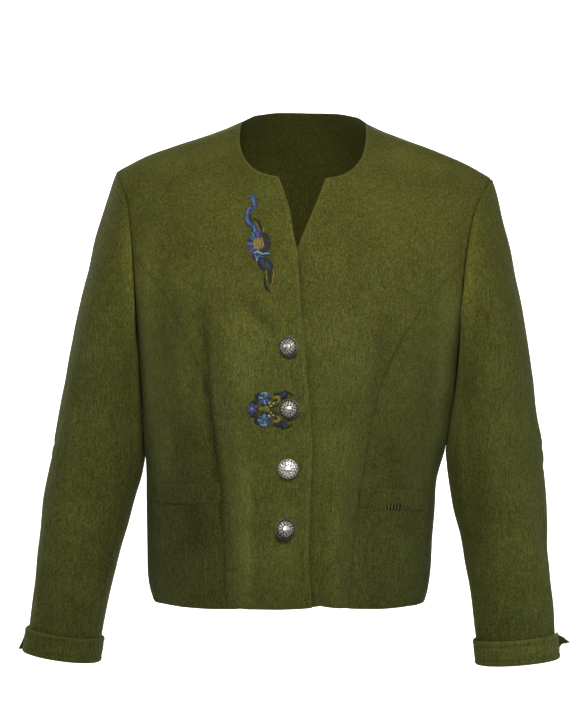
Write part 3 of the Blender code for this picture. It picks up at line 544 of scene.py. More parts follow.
def outer_share(name, distances, outer):
    """The outer face's share of the half thickness, and how deep in a seam and how worn each point is."""
    share, deep, worn = 1.0, 0.0, 0.0
    for side, kind in zip(("bottom", "top", "first", "last"), PANELS[name][2:]):
        distance = distances[side]
        if kind == "neck":
            free = np.clip((NECK_HALF - np.abs(outer[-1, :, 0])) / 0.002, 0, 1)[None, :]
            here = free * edge_shape(distance, "stitched") + (1 - free) * edge_shape(distance, "seam")
        else:
            free = 0.0 if kind == "seam" else 1.0
            here = edge_shape(distance, kind)
        share = share * here
        # deep paints shade down in a seam and in the groove under the stitches
        under_stitches = 0.4 * bell(distance, STITCHED_IN, 0.0007) * (kind in ("stitched", "neck"))
        deep = np.maximum(deep, (1 - free) * np.exp(-distance / 0.0011) + free * under_stitches)
        worn = np.maximum(worn, free * np.exp(-distance / 0.0014) * (kind != "welt"))
    return np.clip(share, 0.2, 1.2), deep, worn


# %% [markdown]
# ## Creases
# Cloth on a body creases where it is pulled or where there is too much of it: drag lines run to
# a button or an armhole, and long soft folds hang from the bust. The large folds are in the
# solids already. The finer ones are listed, each as a path seen from one side, with a
# half-width and a depth, and no two alike. A path is dropped on to the cloth along the line of
# sight, and the cloth near it moves in or out by a soft bell shape that dies away at both ends.

# %% Crease table
# seen from the front or back as (x, z), from a side as (y, z): path, half-width, depth (less than 0 is a valley)
CREASES = {
    "front": (
        (((-0.106, -0.222), (-0.102, -0.272), (-0.098, -0.330), (-0.092, -0.385), (-0.083, -0.425)), 0.0095, -0.0040),
        (((-0.084, -0.400), (-0.074, -0.450), (-0.069, -0.510), (-0.067, -0.575)), 0.0100, -0.0026),
        (((-0.151, -0.215), (-0.155, -0.270), (-0.156, -0.335)), 0.0090, -0.0030),
        (((-0.046, -0.410), (-0.044, -0.480), (-0.043, -0.560)), 0.0110, 0.0022),
        (((0.108, -0.235), (0.101, -0.300), (0.098, -0.360)), 0.0095, -0.0030),
        (((0.096, -0.350), (0.090, -0.410), (0.083, -0.470), (0.079, -0.555)), 0.0100, -0.0032),
        (((0.056, -0.400), (0.052, -0.480), (0.050, -0.560)), 0.0100, 0.0020),
        (((0.0330, -0.330), (0.0345, -0.440), (0.0350, -0.560)), 0.0065, -0.0018),
        (((-0.139, -0.252), (-0.120, -0.284), (-0.104, -0.312)), 0.0050, -0.0010),
        (((-0.150, -0.262), (-0.132, -0.300), (-0.118, -0.330)), 0.0060, 0.0009),
        (((-0.162, -0.230), (-0.152, -0.285), (-0.143, -0.340)), 0.0070, -0.0012),
        (((-0.066, -0.205), (-0.038, -0.238), (-0.012, -0.258)), 0.0085, -0.0022),
        (((-0.052, -0.238), (-0.033, -0.256), (-0.018, -0.266)), 0.0050, 0.0007),
        (((-0.033, -0.362), (-0.030, -0.420), (-0.024, -0.480)), 0.0075, -0.0016),
        (((-0.002, -0.420), (-0.005, -0.440), (-0.010, -0.462)), 0.0045, -0.0012),
        (((-0.078, -0.440), (-0.070, -0.505), (-0.069, -0.560)), 0.0085, -0.0014),
        (((-0.120, -0.400), (-0.105, -0.392), (-0.086, -0.390)), 0.0055, -0.0008),
        (((-0.104, -0.344), (-0.078, -0.352), (-0.050, -0.350)), 0.0070, -0.0007),
        (((-0.162, -0.400), (-0.155, -0.460), (-0.150, -0.520)), 0.0090, -0.0014),
        (((0.145, -0.236), (0.130, -0.262), (0.114, -0.290)), 0.0045, 0.0012),
        (((0.152, -0.240), (0.137, -0.270), (0.120, -0.304)), 0.0050, -0.0010),
        (((0.158, -0.205), (0.150, -0.222), (0.141, -0.244)), 0.0050, -0.0008),
        (((0.168, -0.245), (0.160, -0.300), (0.150, -0.345)), 0.0075, -0.0013),
        (((0.044, -0.235), (0.030, -0.252), (0.020, -0.262)), 0.0055, -0.0007),
        (((0.093, -0.450), (0.086, -0.500), (0.081, -0.540)), 0.0050, 0.0009),
        (((0.070, -0.400), (0.069, -0.460), (0.072, -0.545)), 0.0080, -0.0014),
        (((0.120, -0.340), (0.104, -0.352), (0.082, -0.356)), 0.0070, -0.0008),
        (((0.150, -0.455), (0.142, -0.505), (0.140, -0.550)), 0.0085, -0.0012),
        (((-0.205, -0.125), (-0.190, -0.168), (-0.183, -0.205)), 0.0070, -0.0010),
        (((0.204, -0.120), (0.192, -0.160), (0.186, -0.200)), 0.0075, -0.0011),
        (((-0.262, -0.300), (-0.254, -0.360), (-0.252, -0.415)), 0.0080, -0.0016),
        (((-0.232, -0.385), (-0.240, -0.430), (-0.242, -0.470)), 0.0060, -0.0018),
        (((-0.276, -0.440), (-0.268, -0.490), (-0.262, -0.540)), 0.0070, -0.0013),
        (((-0.300, -0.535), (-0.292, -0.580), (-0.288, -0.618)), 0.0055, -0.0022),
        (((-0.270, -0.570), (-0.266, -0.595), (-0.263, -0.618)), 0.0045, -0.0013),
        (((-0.252, -0.575), (-0.250, -0.600), (-0.250, -0.622)), 0.0045, -0.0010),
        (((-0.284, -0.595), (-0.280, -0.606), (-0.277, -0.622)), 0.0040, 0.0008),
        (((0.232, -0.212), (0.228, -0.240), (0.226, -0.268)), 0.0060, -0.0016),
        (((0.222, -0.300), (0.230, -0.352), (0.228, -0.400)), 0.0075, -0.0014),
        (((0.268, -0.330), (0.262, -0.390), (0.258, -0.440)), 0.0085, -0.0012),
        (((0.245, -0.450), (0.252, -0.500), (0.248, -0.548)), 0.0065, -0.0018),
        (((0.262, -0.520), (0.266, -0.562), (0.266, -0.600)), 0.0055, -0.0013),
        (((0.283, -0.560), (0.286, -0.590), (0.285, -0.618)), 0.0050, -0.0010),
    ),
    "back": (
        (((-0.176, -0.190), (-0.150, -0.232), (-0.128, -0.262)), 0.0075, -0.0027),
        (((0.180, -0.185), (0.156, -0.222), (0.138, -0.250)), 0.0070, -0.0023),
        (((-0.120, -0.250), (-0.086, -0.262), (-0.060, -0.258)), 0.0080, -0.0019),
        (((0.112, -0.246), (0.078, -0.262), (0.048, -0.262)), 0.0085, -0.0021),
        (((-0.100, -0.350), (-0.060, -0.362), (-0.022, -0.358)), 0.0075, -0.0025),
        (((0.110, -0.338), (0.070, -0.352), (0.030, -0.350)), 0.0070, -0.0021),
        (((-0.050, -0.388), (0.000, -0.398), (0.052, -0.390)), 0.0080, -0.0019),
        (((-0.006, -0.040), (-0.004, -0.075), (-0.004, -0.110)), 0.0100, -0.0015),
        (((-0.150, -0.400), (-0.146, -0.460), (-0.150, -0.530)), 0.0085, -0.0027),
        (((0.150, -0.390), (0.146, -0.465), (0.146, -0.540)), 0.0090, -0.0029),
        (((-0.010, -0.440), (-0.008, -0.500), (-0.010, -0.560)), 0.0110, -0.0019),
        (((0.062, -0.425), (0.066, -0.490), (0.066, -0.555)), 0.0095, -0.0021),
        (((-0.205, -0.125), (-0.192, -0.165), (-0.186, -0.200)), 0.0070, -0.0019),
        (((0.206, -0.120), (0.195, -0.160), (0.188, -0.204)), 0.0075, -0.0019),
        (((-0.210, -0.330), (-0.232, -0.372), (-0.262, -0.398)), 0.0075, -0.0032),
        (((-0.212, -0.362), (-0.238, -0.396), (-0.268, -0.412)), 0.0065, -0.0027),
        (((-0.256, -0.460), (-0.266, -0.510), (-0.268, -0.560)), 0.0070, -0.0023),
        (((-0.270, -0.575), (-0.276, -0.598), (-0.278, -0.620)), 0.0050, -0.0023),
        (((0.206, -0.322), (0.232, -0.362), (0.258, -0.384)), 0.0080, -0.0030),
        (((0.210, -0.356), (0.236, -0.388), (0.264, -0.402)), 0.0060, -0.0027),
        (((0.246, -0.455), (0.256, -0.505), (0.262, -0.550)), 0.0075, -0.0023),
        (((0.268, -0.570), (0.272, -0.596), (0.272, -0.618)), 0.0050, -0.0021),
    ),
    "right": (
        (((-0.012, -0.170), (0.000, -0.215), (-0.004, -0.260)), 0.0085, -0.0010),
        (((-0.036, -0.350), (-0.012, -0.386), (0.020, -0.402)), 0.0075, -0.0014),
        (((-0.030, -0.385), (0.000, -0.412), (0.034, -0.420)), 0.0065, -0.0012),
        (((0.010, -0.450), (0.000, -0.510), (-0.010, -0.565)), 0.0080, -0.0013),
        (((-0.030, -0.555), (-0.024, -0.590), (-0.024, -0.620)), 0.0050, -0.0012),
    ),
    "left": (
        (((0.014, -0.165), (0.004, -0.210), (0.008, -0.255)), 0.0085, -0.0010),
        (((-0.040, -0.340), (-0.014, -0.372), (0.018, -0.390)), 0.0070, -0.0014),
        (((-0.034, -0.372), (-0.004, -0.400), (0.030, -0.408)), 0.0065, -0.0011),
        (((-0.004, -0.440), (-0.012, -0.500), (-0.022, -0.560)), 0.0080, -0.0013),
        (((-0.040, -0.560), (-0.036, -0.590), (-0.038, -0.618)), 0.0050, -0.0012),
    ),
}
# where the line of sight starts in each view, and the way it goes
VIEWS = {
    "front": lambda a, z: ((a, -0.4, z), (0, 1, 0)),
    "back": lambda a, z: ((a, 0.4, z), (0, -1, 0)),
    "right": lambda a, z: ((-0.5, a, z), (1, 0, 0)),
    "left": lambda a, z: ((0.5, a, z), (-1, 0, 0)),
}
print("creases in the table:", {view: len(creases) for view, creases in CREASES.items()})

# %% [markdown]
# ## Painted light and shade
# Light and shade are painted into the cloth's colour: the middle of each front is painted
# lighter, its lower sides darker, and the cloth beside a fold darker. The rest is a table of soft
# strokes, much like the creases: a path, a half-width, and how much lighter or darker it is.
# All of it becomes one number on each point of the cloth.

# %% Tables of painted light and shade
# where the painted light on the middle of each front ends, from the chest to the hem: height and distance from the
# centre
LIT_FRONT_EDGE = {
    "z": (-0.600, -0.500, -0.420, -0.351, -0.272, -0.190, -0.120),
    "right": (0.0640, 0.0660, 0.0800, 0.0930, 0.0990, 0.1050, 0.1300),
    "left": (0.0700, 0.0740, 0.0800, 0.0880, 0.0980, 0.1060, 0.1300),
}
LIT_FRONT_SOFT = (0.011, 0.020)  # how far the painted light fades beside that edge, on the right and left
# how strongly the painted light on the middle and the painted shade on the sides show, by height
LIT_FRONT_SHOWS = ((-0.60, -0.30, -0.20, -0.12), (1.0, 0.8, 0.2, 0.0))
SHADED_SIDES_SHOWS = ((-0.44, -0.37, -0.30), (1.0, 0.4, 0.0))
LIT_FRONT_LIGHT = 0.22  # how much lighter the middle of the fronts is painted
# painted light and shade, as strokes on the side of the cloth that faces forwards, or backwards on the back:
# which panels, path as (x, z), half-width, how much lighter or darker
FRONT_FOLD = (
    (-0.1055, -0.200),
    (-0.1000, -0.262),
    (-0.0962, -0.320),
    (-0.0892, -0.365),
    (-0.0806, -0.422),
    (-0.0740, -0.475),
)
LIGHT_AND_SHADE_STROKES = (
    ("front", FRONT_FOLD, 0.0095, -0.50),
    ("front", ((-0.0960, -0.340), (-0.0860, -0.380), (-0.0815, -0.430), (-0.0780, -0.470)), 0.0130, -0.20),
    ("front", ((-0.0600, -0.340), (-0.0500, -0.420), (-0.0466, -0.489), (-0.0430, -0.566)), 0.0150, 0.20),
    ("front", ((-0.0495, -0.420), (-0.0466, -0.489), (-0.0426, -0.566)), 0.0105, 0.30),
    ("front", ((-0.0060, -0.360), (-0.0010, -0.420), (0.0060, -0.500), (0.0120, -0.566)), 0.0180, 0.12),
    ("front", ((-0.1520, -0.310), (-0.1500, -0.370), (-0.1500, -0.430)), 0.0180, 0.26),
    ("front", ((-0.1720, -0.150), (-0.1740, -0.225), (-0.1760, -0.290), (-0.1760, -0.370)), 0.0200, 0.60),
    ("front", ((-0.1270, -0.255), (-0.1230, -0.310), (-0.1240, -0.355)), 0.0130, 0.14),
    ("front", ((0.1760, -0.180), (0.1760, -0.240), (0.1740, -0.330), (0.1640, -0.430)), 0.0200, 0.50),
    ("front", ((0.1180, -0.470), (0.1350, -0.530), (0.1480, -0.560)), 0.0300, 0.20),
    ("left_front", ((0.0520, -0.430), (0.0530, -0.500), (0.0520, -0.560)), 0.0130, 0.14),
    ("left_front", ((0.0300, -0.100), (0.0700, -0.140), (0.1000, -0.180)), 0.0500, -0.12),
    ("front", ((0.1030, -0.215), (0.0960, -0.290), (0.0890, -0.350)), 0.0100, -0.16),
    ("front", ((-0.0640, -0.206), (-0.0380, -0.236), (-0.0100, -0.256)), 0.0130, -0.30),
    ("front", ((-0.0220, -0.462), (-0.0260, -0.500)), 0.0110, -0.10),
    ("sleeve", ((-0.1960, -0.120), (-0.1900, -0.200), (-0.1860, -0.290), (-0.1820, -0.410)), 0.0170, 0.80),
    ("sleeve", ((0.1980, -0.120), (0.1900, -0.220), (0.1860, -0.300), (0.1830, -0.390)), 0.0170, 0.70),
    ("sleeve", ((-0.2140, -0.330), (-0.2080, -0.400), (-0.2060, -0.470)), 0.0090, -0.20),
    ("sleeve", ((-0.2200, -0.480), (-0.2180, -0.560)), 0.0140, -0.16),
    ("sleeve", ((0.2060, -0.360), (0.2140, -0.430), (0.2260, -0.520)), 0.0190, -0.28),
    ("sleeve", ((0.2100, -0.150), (0.2060, -0.210)), 0.0140, 0.16),
    ("front", ((-0.1250, -0.330), (-0.1200, -0.390), (-0.1100, -0.450), (-0.1050, -0.520)), 0.0320, -0.24),
    ("front", ((-0.0900, -0.480), (-0.1250, -0.500), (-0.1500, -0.540)), 0.0300, -0.16),
    ("front", ((0.1050, -0.360), (0.1180, -0.420), (0.1300, -0.500)), 0.0260, -0.14),
    ("front", ((-0.1000, -0.120), (-0.0400, -0.180), (0.0400, -0.200), (0.1000, -0.150)), 0.0700, -0.07),
    ("sleeve", ((-0.2450, -0.330), (-0.2520, -0.430), (-0.2650, -0.560)), 0.0500, 0.27),
    ("sleeve", ((0.2350, -0.280), (0.2480, -0.400), (0.2720, -0.560)), 0.0500, 0.20),
    ("sleeve", ((0.2740, -0.360), (0.3020, -0.570)), 0.0300, 0.20),
    ("sleeve", ((0.2550, -0.460), (0.2880, -0.590)), 0.0400, 0.20),
    ("right_front", ((-0.0660, -0.225), (-0.0560, -0.275), (-0.0480, -0.345)), 0.0320, 0.38),
    ("right_front", ((-0.0640, -0.430), (-0.0580, -0.560)), 0.0130, 0.22),
    ("right_front", ((-0.0530, -0.400), (-0.0500, -0.470), (-0.0470, -0.570)), 0.0150, 0.43),
    ("right_front", ((-0.0220, -0.320), (-0.0130, -0.440), (-0.0040, -0.560)), 0.0300, 0.18),
    ("left_front", ((0.0400, -0.330), (0.0430, -0.440), (0.0420, -0.560)), 0.0170, 0.26),
    ("front", ((-0.1500, -0.440), (-0.0960, -0.450)), 0.0240, -0.24),
    ("front", ((-0.1680, -0.410), (-0.1660, -0.550)), 0.0180, -0.36),
    ("front", ((0.1680, -0.440), (0.1660, -0.560)), 0.0180, -0.36),
    ("front", ((0.1080, -0.225), (0.1140, -0.295)), 0.0220, -0.14),
    ("front", ((0.1150, -0.410), (0.1250, -0.560)), 0.0450, -0.10),
    ("back", ((-0.1000, -0.350), (-0.0600, -0.362), (-0.0220, -0.358)), 0.0120, -0.18),
    ("back", ((0.1100, -0.338), (0.0700, -0.352), (0.0300, -0.350)), 0.0120, -0.16),
    ("back", ((-0.1760, -0.190), (-0.1500, -0.232), (-0.1280, -0.262)), 0.0120, -0.20),
    ("back", ((0.1800, -0.185), (0.1560, -0.222), (0.1380, -0.250)), 0.0120, -0.18),
    ("back", ((-0.1500, -0.400), (-0.1460, -0.460), (-0.1500, -0.530)), 0.0140, -0.20),
    ("back", ((0.1500, -0.390), (0.1460, -0.465), (0.1460, -0.540)), 0.0140, -0.18),
    ("back", ((-0.0750, -0.130), (0.0000, -0.180), (0.0700, -0.130)), 0.0600, 0.08),
    ("back", ((0.0620, -0.425), (0.0660, -0.490), (0.0660, -0.555)), 0.0140, -0.14),
    ("front", ((-0.1750, -0.064), (-0.1300, -0.052), (-0.0900, -0.038)), 0.0200, 0.34),
    ("front", ((0.0950, -0.038), (0.1350, -0.050), (0.1750, -0.062)), 0.0200, 0.34),
    ("left_cuff", ((0.2100, -0.600), (0.3300, -0.598)), 0.0600, 0.62),
    ("right_cuff", ((-0.3100, -0.634), (-0.2400, -0.640)), 0.0400, 0.06),
    ("right_cuff", ((-0.3270, -0.644), (-0.3205, -0.628), (-0.3190, -0.616)), 0.0042, -0.70),
)
# beside the free edge of the right front, by height: how much darker the painted shadow under it is, and
# how much lighter the painted highlight on the edge itself
LAP_SHADOW_AND_HIGHLIGHT = {
    "z": (-0.600, -0.570, -0.400, -0.340, -0.260, -0.130, -0.110),
    "under": (-0.44, -0.50, -0.50, -0.42, -0.42, -0.42, 0),
    "edge": (0.22, 0.22, 0.22, 0.18, 0.16, 0.16, 0),
}
LAP_SHADE = 0.0032  # how fast the shade under the edge dies away
LAP_HIGHLIGHT_LINE = (0.0045, 0.0035)  # how far in from the edge its painted highlight line lies, and the line's half-width
TURNED_AWAY = 0.02  # a stroke fades over this depth where the cloth turns to the other side
V_FOOT = -0.112  # the height where the fronts part
WELT_SHADE = {"right": -0.38, "left": -0.14}  # painted shade: the welts are darker than the cloth round them
PAINTED_TONE_RANGE = (-0.7, 1.0)
print("nap strokes:", len(LIGHT_AND_SHADE_STROKES))


# %% One number for the painted light and shade of each point
def distance_to(points, line):
    """The distance of each point to a line of points, and how far along it the nearest place is."""
    best, along = np.full(len(points), 9.0), np.zeros(len(points))
    count = len(line) - 1
    for i in range(count):
        a, b = line[i], line[i + 1]
        d = b - a
        t = np.clip(((points - a) @ d) / max(float(d @ d), 1e-12), 0, 1)
        gap = np.linalg.norm(points - a - t[:, None] * d, axis=1)
        nearer = gap < best
        best[nearer] = gap[nearer]
        along[nearer] = (i + t[nearer]) / count
    return best, along


def lit_front_share(points):
    """From 1 on the middle of the fronts, painted lighter, to -1 on their lower sides, painted darker, and 0
    elsewhere.
    """
    x, z = np.abs(points[..., 0]), points[..., 2]
    right = np.interp(z, LIT_FRONT_EDGE["z"], LIT_FRONT_EDGE["right"])
    left = np.interp(z, LIT_FRONT_EDGE["z"], LIT_FRONT_EDGE["left"])
    on_right = points[..., 0] < 0
    edge = np.where(on_right, right, left)
    across = np.clip((edge - x) / np.where(on_right, *LIT_FRONT_SOFT), -1, 1)
    side_shade = np.interp(z, *SHADED_SIDES_SHOWS) * np.where(on_right, 1.0, 0.5)
    return np.where(across > 0, across * np.interp(z, *LIT_FRONT_SHOWS), across * side_shade)


def painted_light_and_shade_of(points, name):
    """How much lighter or darker than the plain cloth each point is painted, as light and shade."""
    flat = points.reshape(-1, 3)
    painted_light_and_shade = LIT_FRONT_LIGHT * lit_front_share(flat) if "front" in name else np.zeros(len(flat))
    for where, path, half_width, amount in LIGHT_AND_SHADE_STROKES:
        if where in name:
            gap, along = distance_to(flat[:, ::2], np.array(path))
            ends = np.clip(np.minimum(along, 1 - along) / 0.25 + 0.25, 0, 1)
            facing = np.clip(1 + flat[:, 1] / (TURNED_AWAY if where == "back" else -TURNED_AWAY), 0, 1)
            painted_light_and_shade += amount * np.clip(1 - (gap / half_width) ** 2, 0, 1) ** 2 * ends * facing
    if name in ("left_front", "right_front"):
        edge = GRIDS["right_front"][0][:, 0]
        edge = edge[edge[:, 2] < V_FOOT]
        beyond = flat[:, 0] - np.interp(flat[:, 2], edge[:, 2], edge[:, 0])
        if name == "left_front":
            painted_light_and_shade += np.interp(flat[:, 2], LAP_SHADOW_AND_HIGHLIGHT["z"], LAP_SHADOW_AND_HIGHLIGHT["under"]) * np.exp(-np.abs(beyond - 0.001) / LAP_SHADE)
        else:
            painted_light_and_shade += np.interp(flat[:, 2], LAP_SHADOW_AND_HIGHLIGHT["z"], LAP_SHADOW_AND_HIGHLIGHT["edge"]) * bell(-beyond, *LAP_HIGHLIGHT_LINE)
    if "welt" in name:
        painted_light_and_shade += WELT_SHADE[name.split("_")[0]]
    return np.clip(painted_light_and_shade, *PAINTED_TONE_RANGE).reshape(points.shape[:-1])


# %% Drop the creases on to the cloth
def solid_tree(names):
    """A search tree of the named solids' faces."""
    vertices, faces = [], []
    for name in names:
        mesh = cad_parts[name].data
        base = len(vertices)
        vertices += [v.co.copy() for v in mesh.vertices]
        faces += [tuple(base + i for i in p.vertices) for p in mesh.polygons]
    return BVHTree.FromPolygons(vertices, faces)


def dropped(tree, view, path, step=0.004):
    """Points along a path seen from one side, dropped on to the nearest cloth."""
    found = []
    path = np.array(path)
    for (a, b), (c, d) in zip(path, path[1:]):
        count = max(2, int(math.hypot(c - a, d - b) / step))
        for t in np.arange(count) / count:
            found.append((a + (c - a) * t, b + (d - b) * t))
    found.append(tuple(path[-1]))
    points = []
    for a, z in found:
        start, towards = VIEWS[view](a, z)
        hit = tree.ray_cast(Vector(start), Vector(towards))[0]
        if hit is not None:
            points.append(hit)
    return np.array(points)


SOLID_CLOTH = solid_tree([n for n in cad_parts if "welt" not in n and "button" not in n])
CREASE_LINES = []
for view, creases in CREASES.items():
    for path, half_width, depth in creases:
        line = dropped(SOLID_CLOTH, view, path)
        if len(line) > 2:
            CREASE_LINES.append((line, half_width, depth))
print("creases:", len(CREASE_LINES))

# %% How far the creases move the cloth
HELD = []  # where no crease moves it: points, and the distances at which it is held and free
BODY_RADII = (0.19, 0.13, 1.0)  # the body's half width and half depth, which say where outwards is
# waves of hanging cloth: how many in a metre along x, y and z, where they start, and how high they are
RIPPLES = (
    ((9.0, 3.0, 4.0), 0.4, 0.00045),
    ((-6.0, 5.0, 11.0), 1.9, 0.00035),
    ((15.0, -8.0, 6.0), 3.3, 0.00022),
    ((4.0, 12.0, -17.0), 5.1, 0.00018),
    ((23.0, 9.0, 15.0), 0.9, 0.00012),
    ((-19.0, 22.0, 10.0), 2.6, 0.00012),
)


def ripple(points):
    """A slight unevenness of hanging cloth, from a few long waves in different directions."""
    height = np.zeros(len(points))
    for wave, phase, size in RIPPLES:
        height += size * np.sin(points @ np.array(wave) * 2 * math.pi + phase)
    return height


def nearest(points, line, at_once=4000):
    """The distance of each point to a long line of points, in slices to save memory."""
    out = np.empty(len(points))
    for i in range(0, len(points), at_once):
        out[i : i + at_once] = np.linalg.norm(points[i : i + at_once, None] - line[None], axis=2).min(1)
    return out


def crease_move(points, name):
    """How far the creases and the unevenness move each point of a panel."""
    flat = points.reshape(-1, 3)
    height = ripple(flat)
    for line, half_width, depth in CREASE_LINES:
        low, high = line.min(0) - half_width, line.max(0) + half_width
        near = np.flatnonzero(((flat > low) & (flat < high)).all(1))
        if len(near):
            gap, along = distance_to(flat[near], line)
            across = np.clip(1 - (gap / half_width) ** 2, 0, 1) ** 2
            ends = np.clip(np.minimum(along, 1 - along) / 0.35, 0, 1)
            height[near] += depth * across * ends * ends * (3 - 2 * ends)
    for centre, inner, outer in HELD:
        t = np.clip((nearest(flat, centre) - inner) / (outer - inner), 0, 1)
        height *= t * t * (3 - 2 * t)
    away = flat - middle(flat, name)
    if not is_sleeve(name):
        away = away / np.array(BODY_RADII) ** 2
    away = away / (np.linalg.norm(away, axis=1, keepdims=True) + 1e-9)
    return (height[:, None] * away).reshape(points.shape)


# %% [markdown]
# ## Building the panels
# Each panel now becomes a mesh: the outer face, the inner face, and a round edge between them.
# At a seam the edge is let out by 0.2 mm, so that two neighbours meet as sewn cloth does. The
# armholes are held still, so that sleeve and body stay joined while the creases move the rest.

# %% The finer grids, and where the creases are held still
GRIDS = {name: finer_panel(name) for name in PANELS}
ARMHOLES = np.concatenate([GRIDS[n][0][-1] for n in GRIDS if "sleeve" in n])
BUTTONS = [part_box(f"button_{number}") for number in (1, 2, 3, 4)]
SEATS = np.array([((low.x + high.x) / 2, high.y, (low.z + high.z) / 2) for low, high in BUTTONS])
HELD += [(ARMHOLES[::2], 0.002, 0.028), (SEATS, 0.006, 0.016)]
print("points of the outer grids:", sum(grids[0].shape[0] * grids[0].shape[1] for grids in GRIDS.values()))


# %% From two grids to a mesh
def let_out(grid, distance):
    """Moves the four outlines of a grid outwards by a distance."""
    out = grid.copy()
    for edge, inner in ((0, 3), (-1, -4)):
        for a, b in (((edge, slice(None)), (inner, slice(None))), ((slice(None), edge), (slice(None), inner))):
            away = grid[a] - grid[b]
            out[a] += away / np.linalg.norm(away, axis=-1, keepdims=True) * distance
    return out


def ring_of(grid):
    """A grid's points numbered row by row, and the numbers of those round its edge."""
    rows, columns = grid.shape[:2]
    index = np.arange(rows * columns).reshape(rows, columns)
    return index, np.concatenate([index[0, :-1], index[:-1, -1], index[-1, :0:-1], index[:0:-1, 0]])


def panel_mesh(name, outer, middle_ring, inner, values):
    """A mesh of a panel from its outer and inner grids and the line round the middle of its edge."""
    rows, columns = outer.shape[:2]
    count = rows * columns
    points = np.concatenate([outer.reshape(-1, 3), inner.reshape(-1, 3), middle_ring])
    index, ring = ring_of(outer)
    a, b, c, d = index[:-1, :-1], index[:-1, 1:], index[1:, 1:], index[1:, :-1]
    front = np.stack([a, b, c, d], -1).reshape(-1, 4)
    back = front[:, ::-1] + count
    following = np.roll(ring, -1)
    line = 2 * count + np.arange(len(ring))
    next_line = np.roll(line, -1)
    outer_rim = np.stack([following, ring, line, next_line], -1)
    inner_rim = np.stack([next_line, line, ring + count, following + count], -1)
    faces = np.concatenate([front, back, outer_rim, inner_rim])
    i, j = rows // 2, columns // 2
    normal = np.cross(outer[i, j + 1] - outer[i, j], outer[i + 1, j] - outer[i, j])
    if normal @ (outer[i, j] - inner[i, j]) <= 0:
        faces = faces[:, ::-1]
    mesh = bpy.data.meshes.new(name)
    mesh.from_pydata(points.tolist(), [], faces.tolist())
    mesh.update()
    for key, (on_outer, on_inner, on_ring) in values.items():
        on_outer = np.broadcast_to(on_outer, (rows, columns)).ravel()
        data = np.concatenate([on_outer, np.full(count, on_inner), np.broadcast_to(on_ring, len(ring))])
        mesh.attributes.new(key, "FLOAT", "POINT").data.foreach_set("value", data.astype(np.float32))
    mesh.polygons.foreach_set("use_smooth", [True] * len(mesh.polygons))
    return mesh


# %% How the hem, the cuffs, the welts and the left side differ from the solids
# how far the hem rises or drops, in mm, at distances from the centre in mm
RIGHT_HEM = (
    (-166, -6), (-163, -6), (-160, -6.6), (-156, -6.4), (-152, -6.1), (-147, -5.7), (-135, -5.7), (-122, -5.9),
    (-107, -5.2), (-95, -5), (-81, -5.6), (-70, -5.9), (-64, -6.1), (-60, -5.7), (-55, -3.9), (-51, -2.2),
    (-46, -0.7), (-40, 0.3), (-34, 0.6), (-27, 0.3), (-14, 0), (-1, 0.7), (12, 1.5), (20, 2.1), (29, 3),
)
LEFT_HEM = (
    (-21, 1.5), (0, 1.9), (14, 2.4), (27, 2.8), (33, 3), (39, 3.9), (45, 4), (52, 4), (57, 3.3), (62, 2.2),
    (66, 0.9), (70, -0.7), (81, -0.9), (97, -0.8), (112, -0.3), (125, 0), (137, 0.5), (145, 0.1), (149, 0.6),
    (152, 0.3), (154, -0.7),
)
HEM_FADE = 0.09  # height over which the trim dies away
# how far the loose corner of each cuff, beside its slit, stands off: x, y, z in mm
CUFF_CORNER = {"right_cuff": (-3.4, 0.0, -1.4), "left_cuff": (4.4, 0.0, -6.0)}
CORNER_LINES = 12  # how many lines of the grid beside the slit share in that
WELT_SUNK = 0.0013  # how far a welt is pressed into the cloth under it
# how far the left sleeve's inner side and the body lean to each other, in mm, at heights in mm
LEAN = np.array((
    (-420, 0, 0), (-400, 0.4, 1.2), (-385, 1.9, 2.3), (-372, 1.9, 1.9), (-360, 1.5, 0.9), (-345, 1.1, 0.2),
    (-335, 1.0, 0.2), (-325, 1.2, 0.7), (-315, 1.5, 0.9), (-300, 1.3, 0.8), (-285, 1.1, 0.2), (-270, 1.4, 0.2),
    (-255, 1.8, 0.4), (-240, 2.0, 0.5), (-220, 1.8, 0.5), (-205, 1.2, 0.2), (-195, 0, 0),
)) / 1000


def trim(points, name):
    """How far the hem's trim, the loose corner of a cuff, the sunk welt or the lean moves each point."""
    move = np.zeros_like(points)
    x, z = points[..., 0], points[..., 2]
    if name == "back" or "front" in name:
        table = np.array(LEFT_HEM if name == "left_front" else RIGHT_HEM + LEFT_HEM[4:]) / 1000
        fade = np.clip((z.min() + HEM_FADE - z) / HEM_FADE, 0, 1)
        share = np.clip((np.abs(x) - 0.12) / 0.035, 0, 1) if name == "back" else 1.0
        move[..., 2] = np.interp(x, table[:, 0], table[:, 1]) * share * fade**2 * (3 - 2 * fade)
    if "welt" in name:
        move[..., 1] = WELT_SUNK
    if "cuff" in name:
        columns = np.arange(points.shape[1])
        near_end = np.clip(1 - (columns if name == "right_cuff" else columns[::-1]) / CORNER_LINES, 0, 1)
        upwards = np.linspace(0, 1, points.shape[0])[:, None]
        high = upwards if name == "left_cuff" else 1 - upwards
        move += (near_end**2 * (3 - 2 * near_end) * high**1.5)[..., None] * np.array(CUFF_CORNER[name]) / 1000
    beside = name.startswith("left") or name == "back"
    if beside and "cuff" not in name and "welt" not in name:
        from_armhole = nearest(points.reshape(-1, 3), ARMHOLES[1::2]).reshape(x.shape)
        free = np.clip((from_armhole - 0.003) / 0.007, 0.55, 1)
        if is_sleeve(name):
            inner_side = np.clip((middle(points, name)[..., 0] - x) / 0.02, 0, 1)
            move[..., 0] = -np.interp(z, LEAN[:, 0], LEAN[:, 1]) * inner_side * free
        else:
            beside_it = np.clip((x - 0.150) / 0.028, 0, 1)
            move[..., 0] = np.interp(z, LEAN[:, 0], LEAN[:, 2]) * beside_it**2 * (3 - 2 * beside_it) * free
    return move


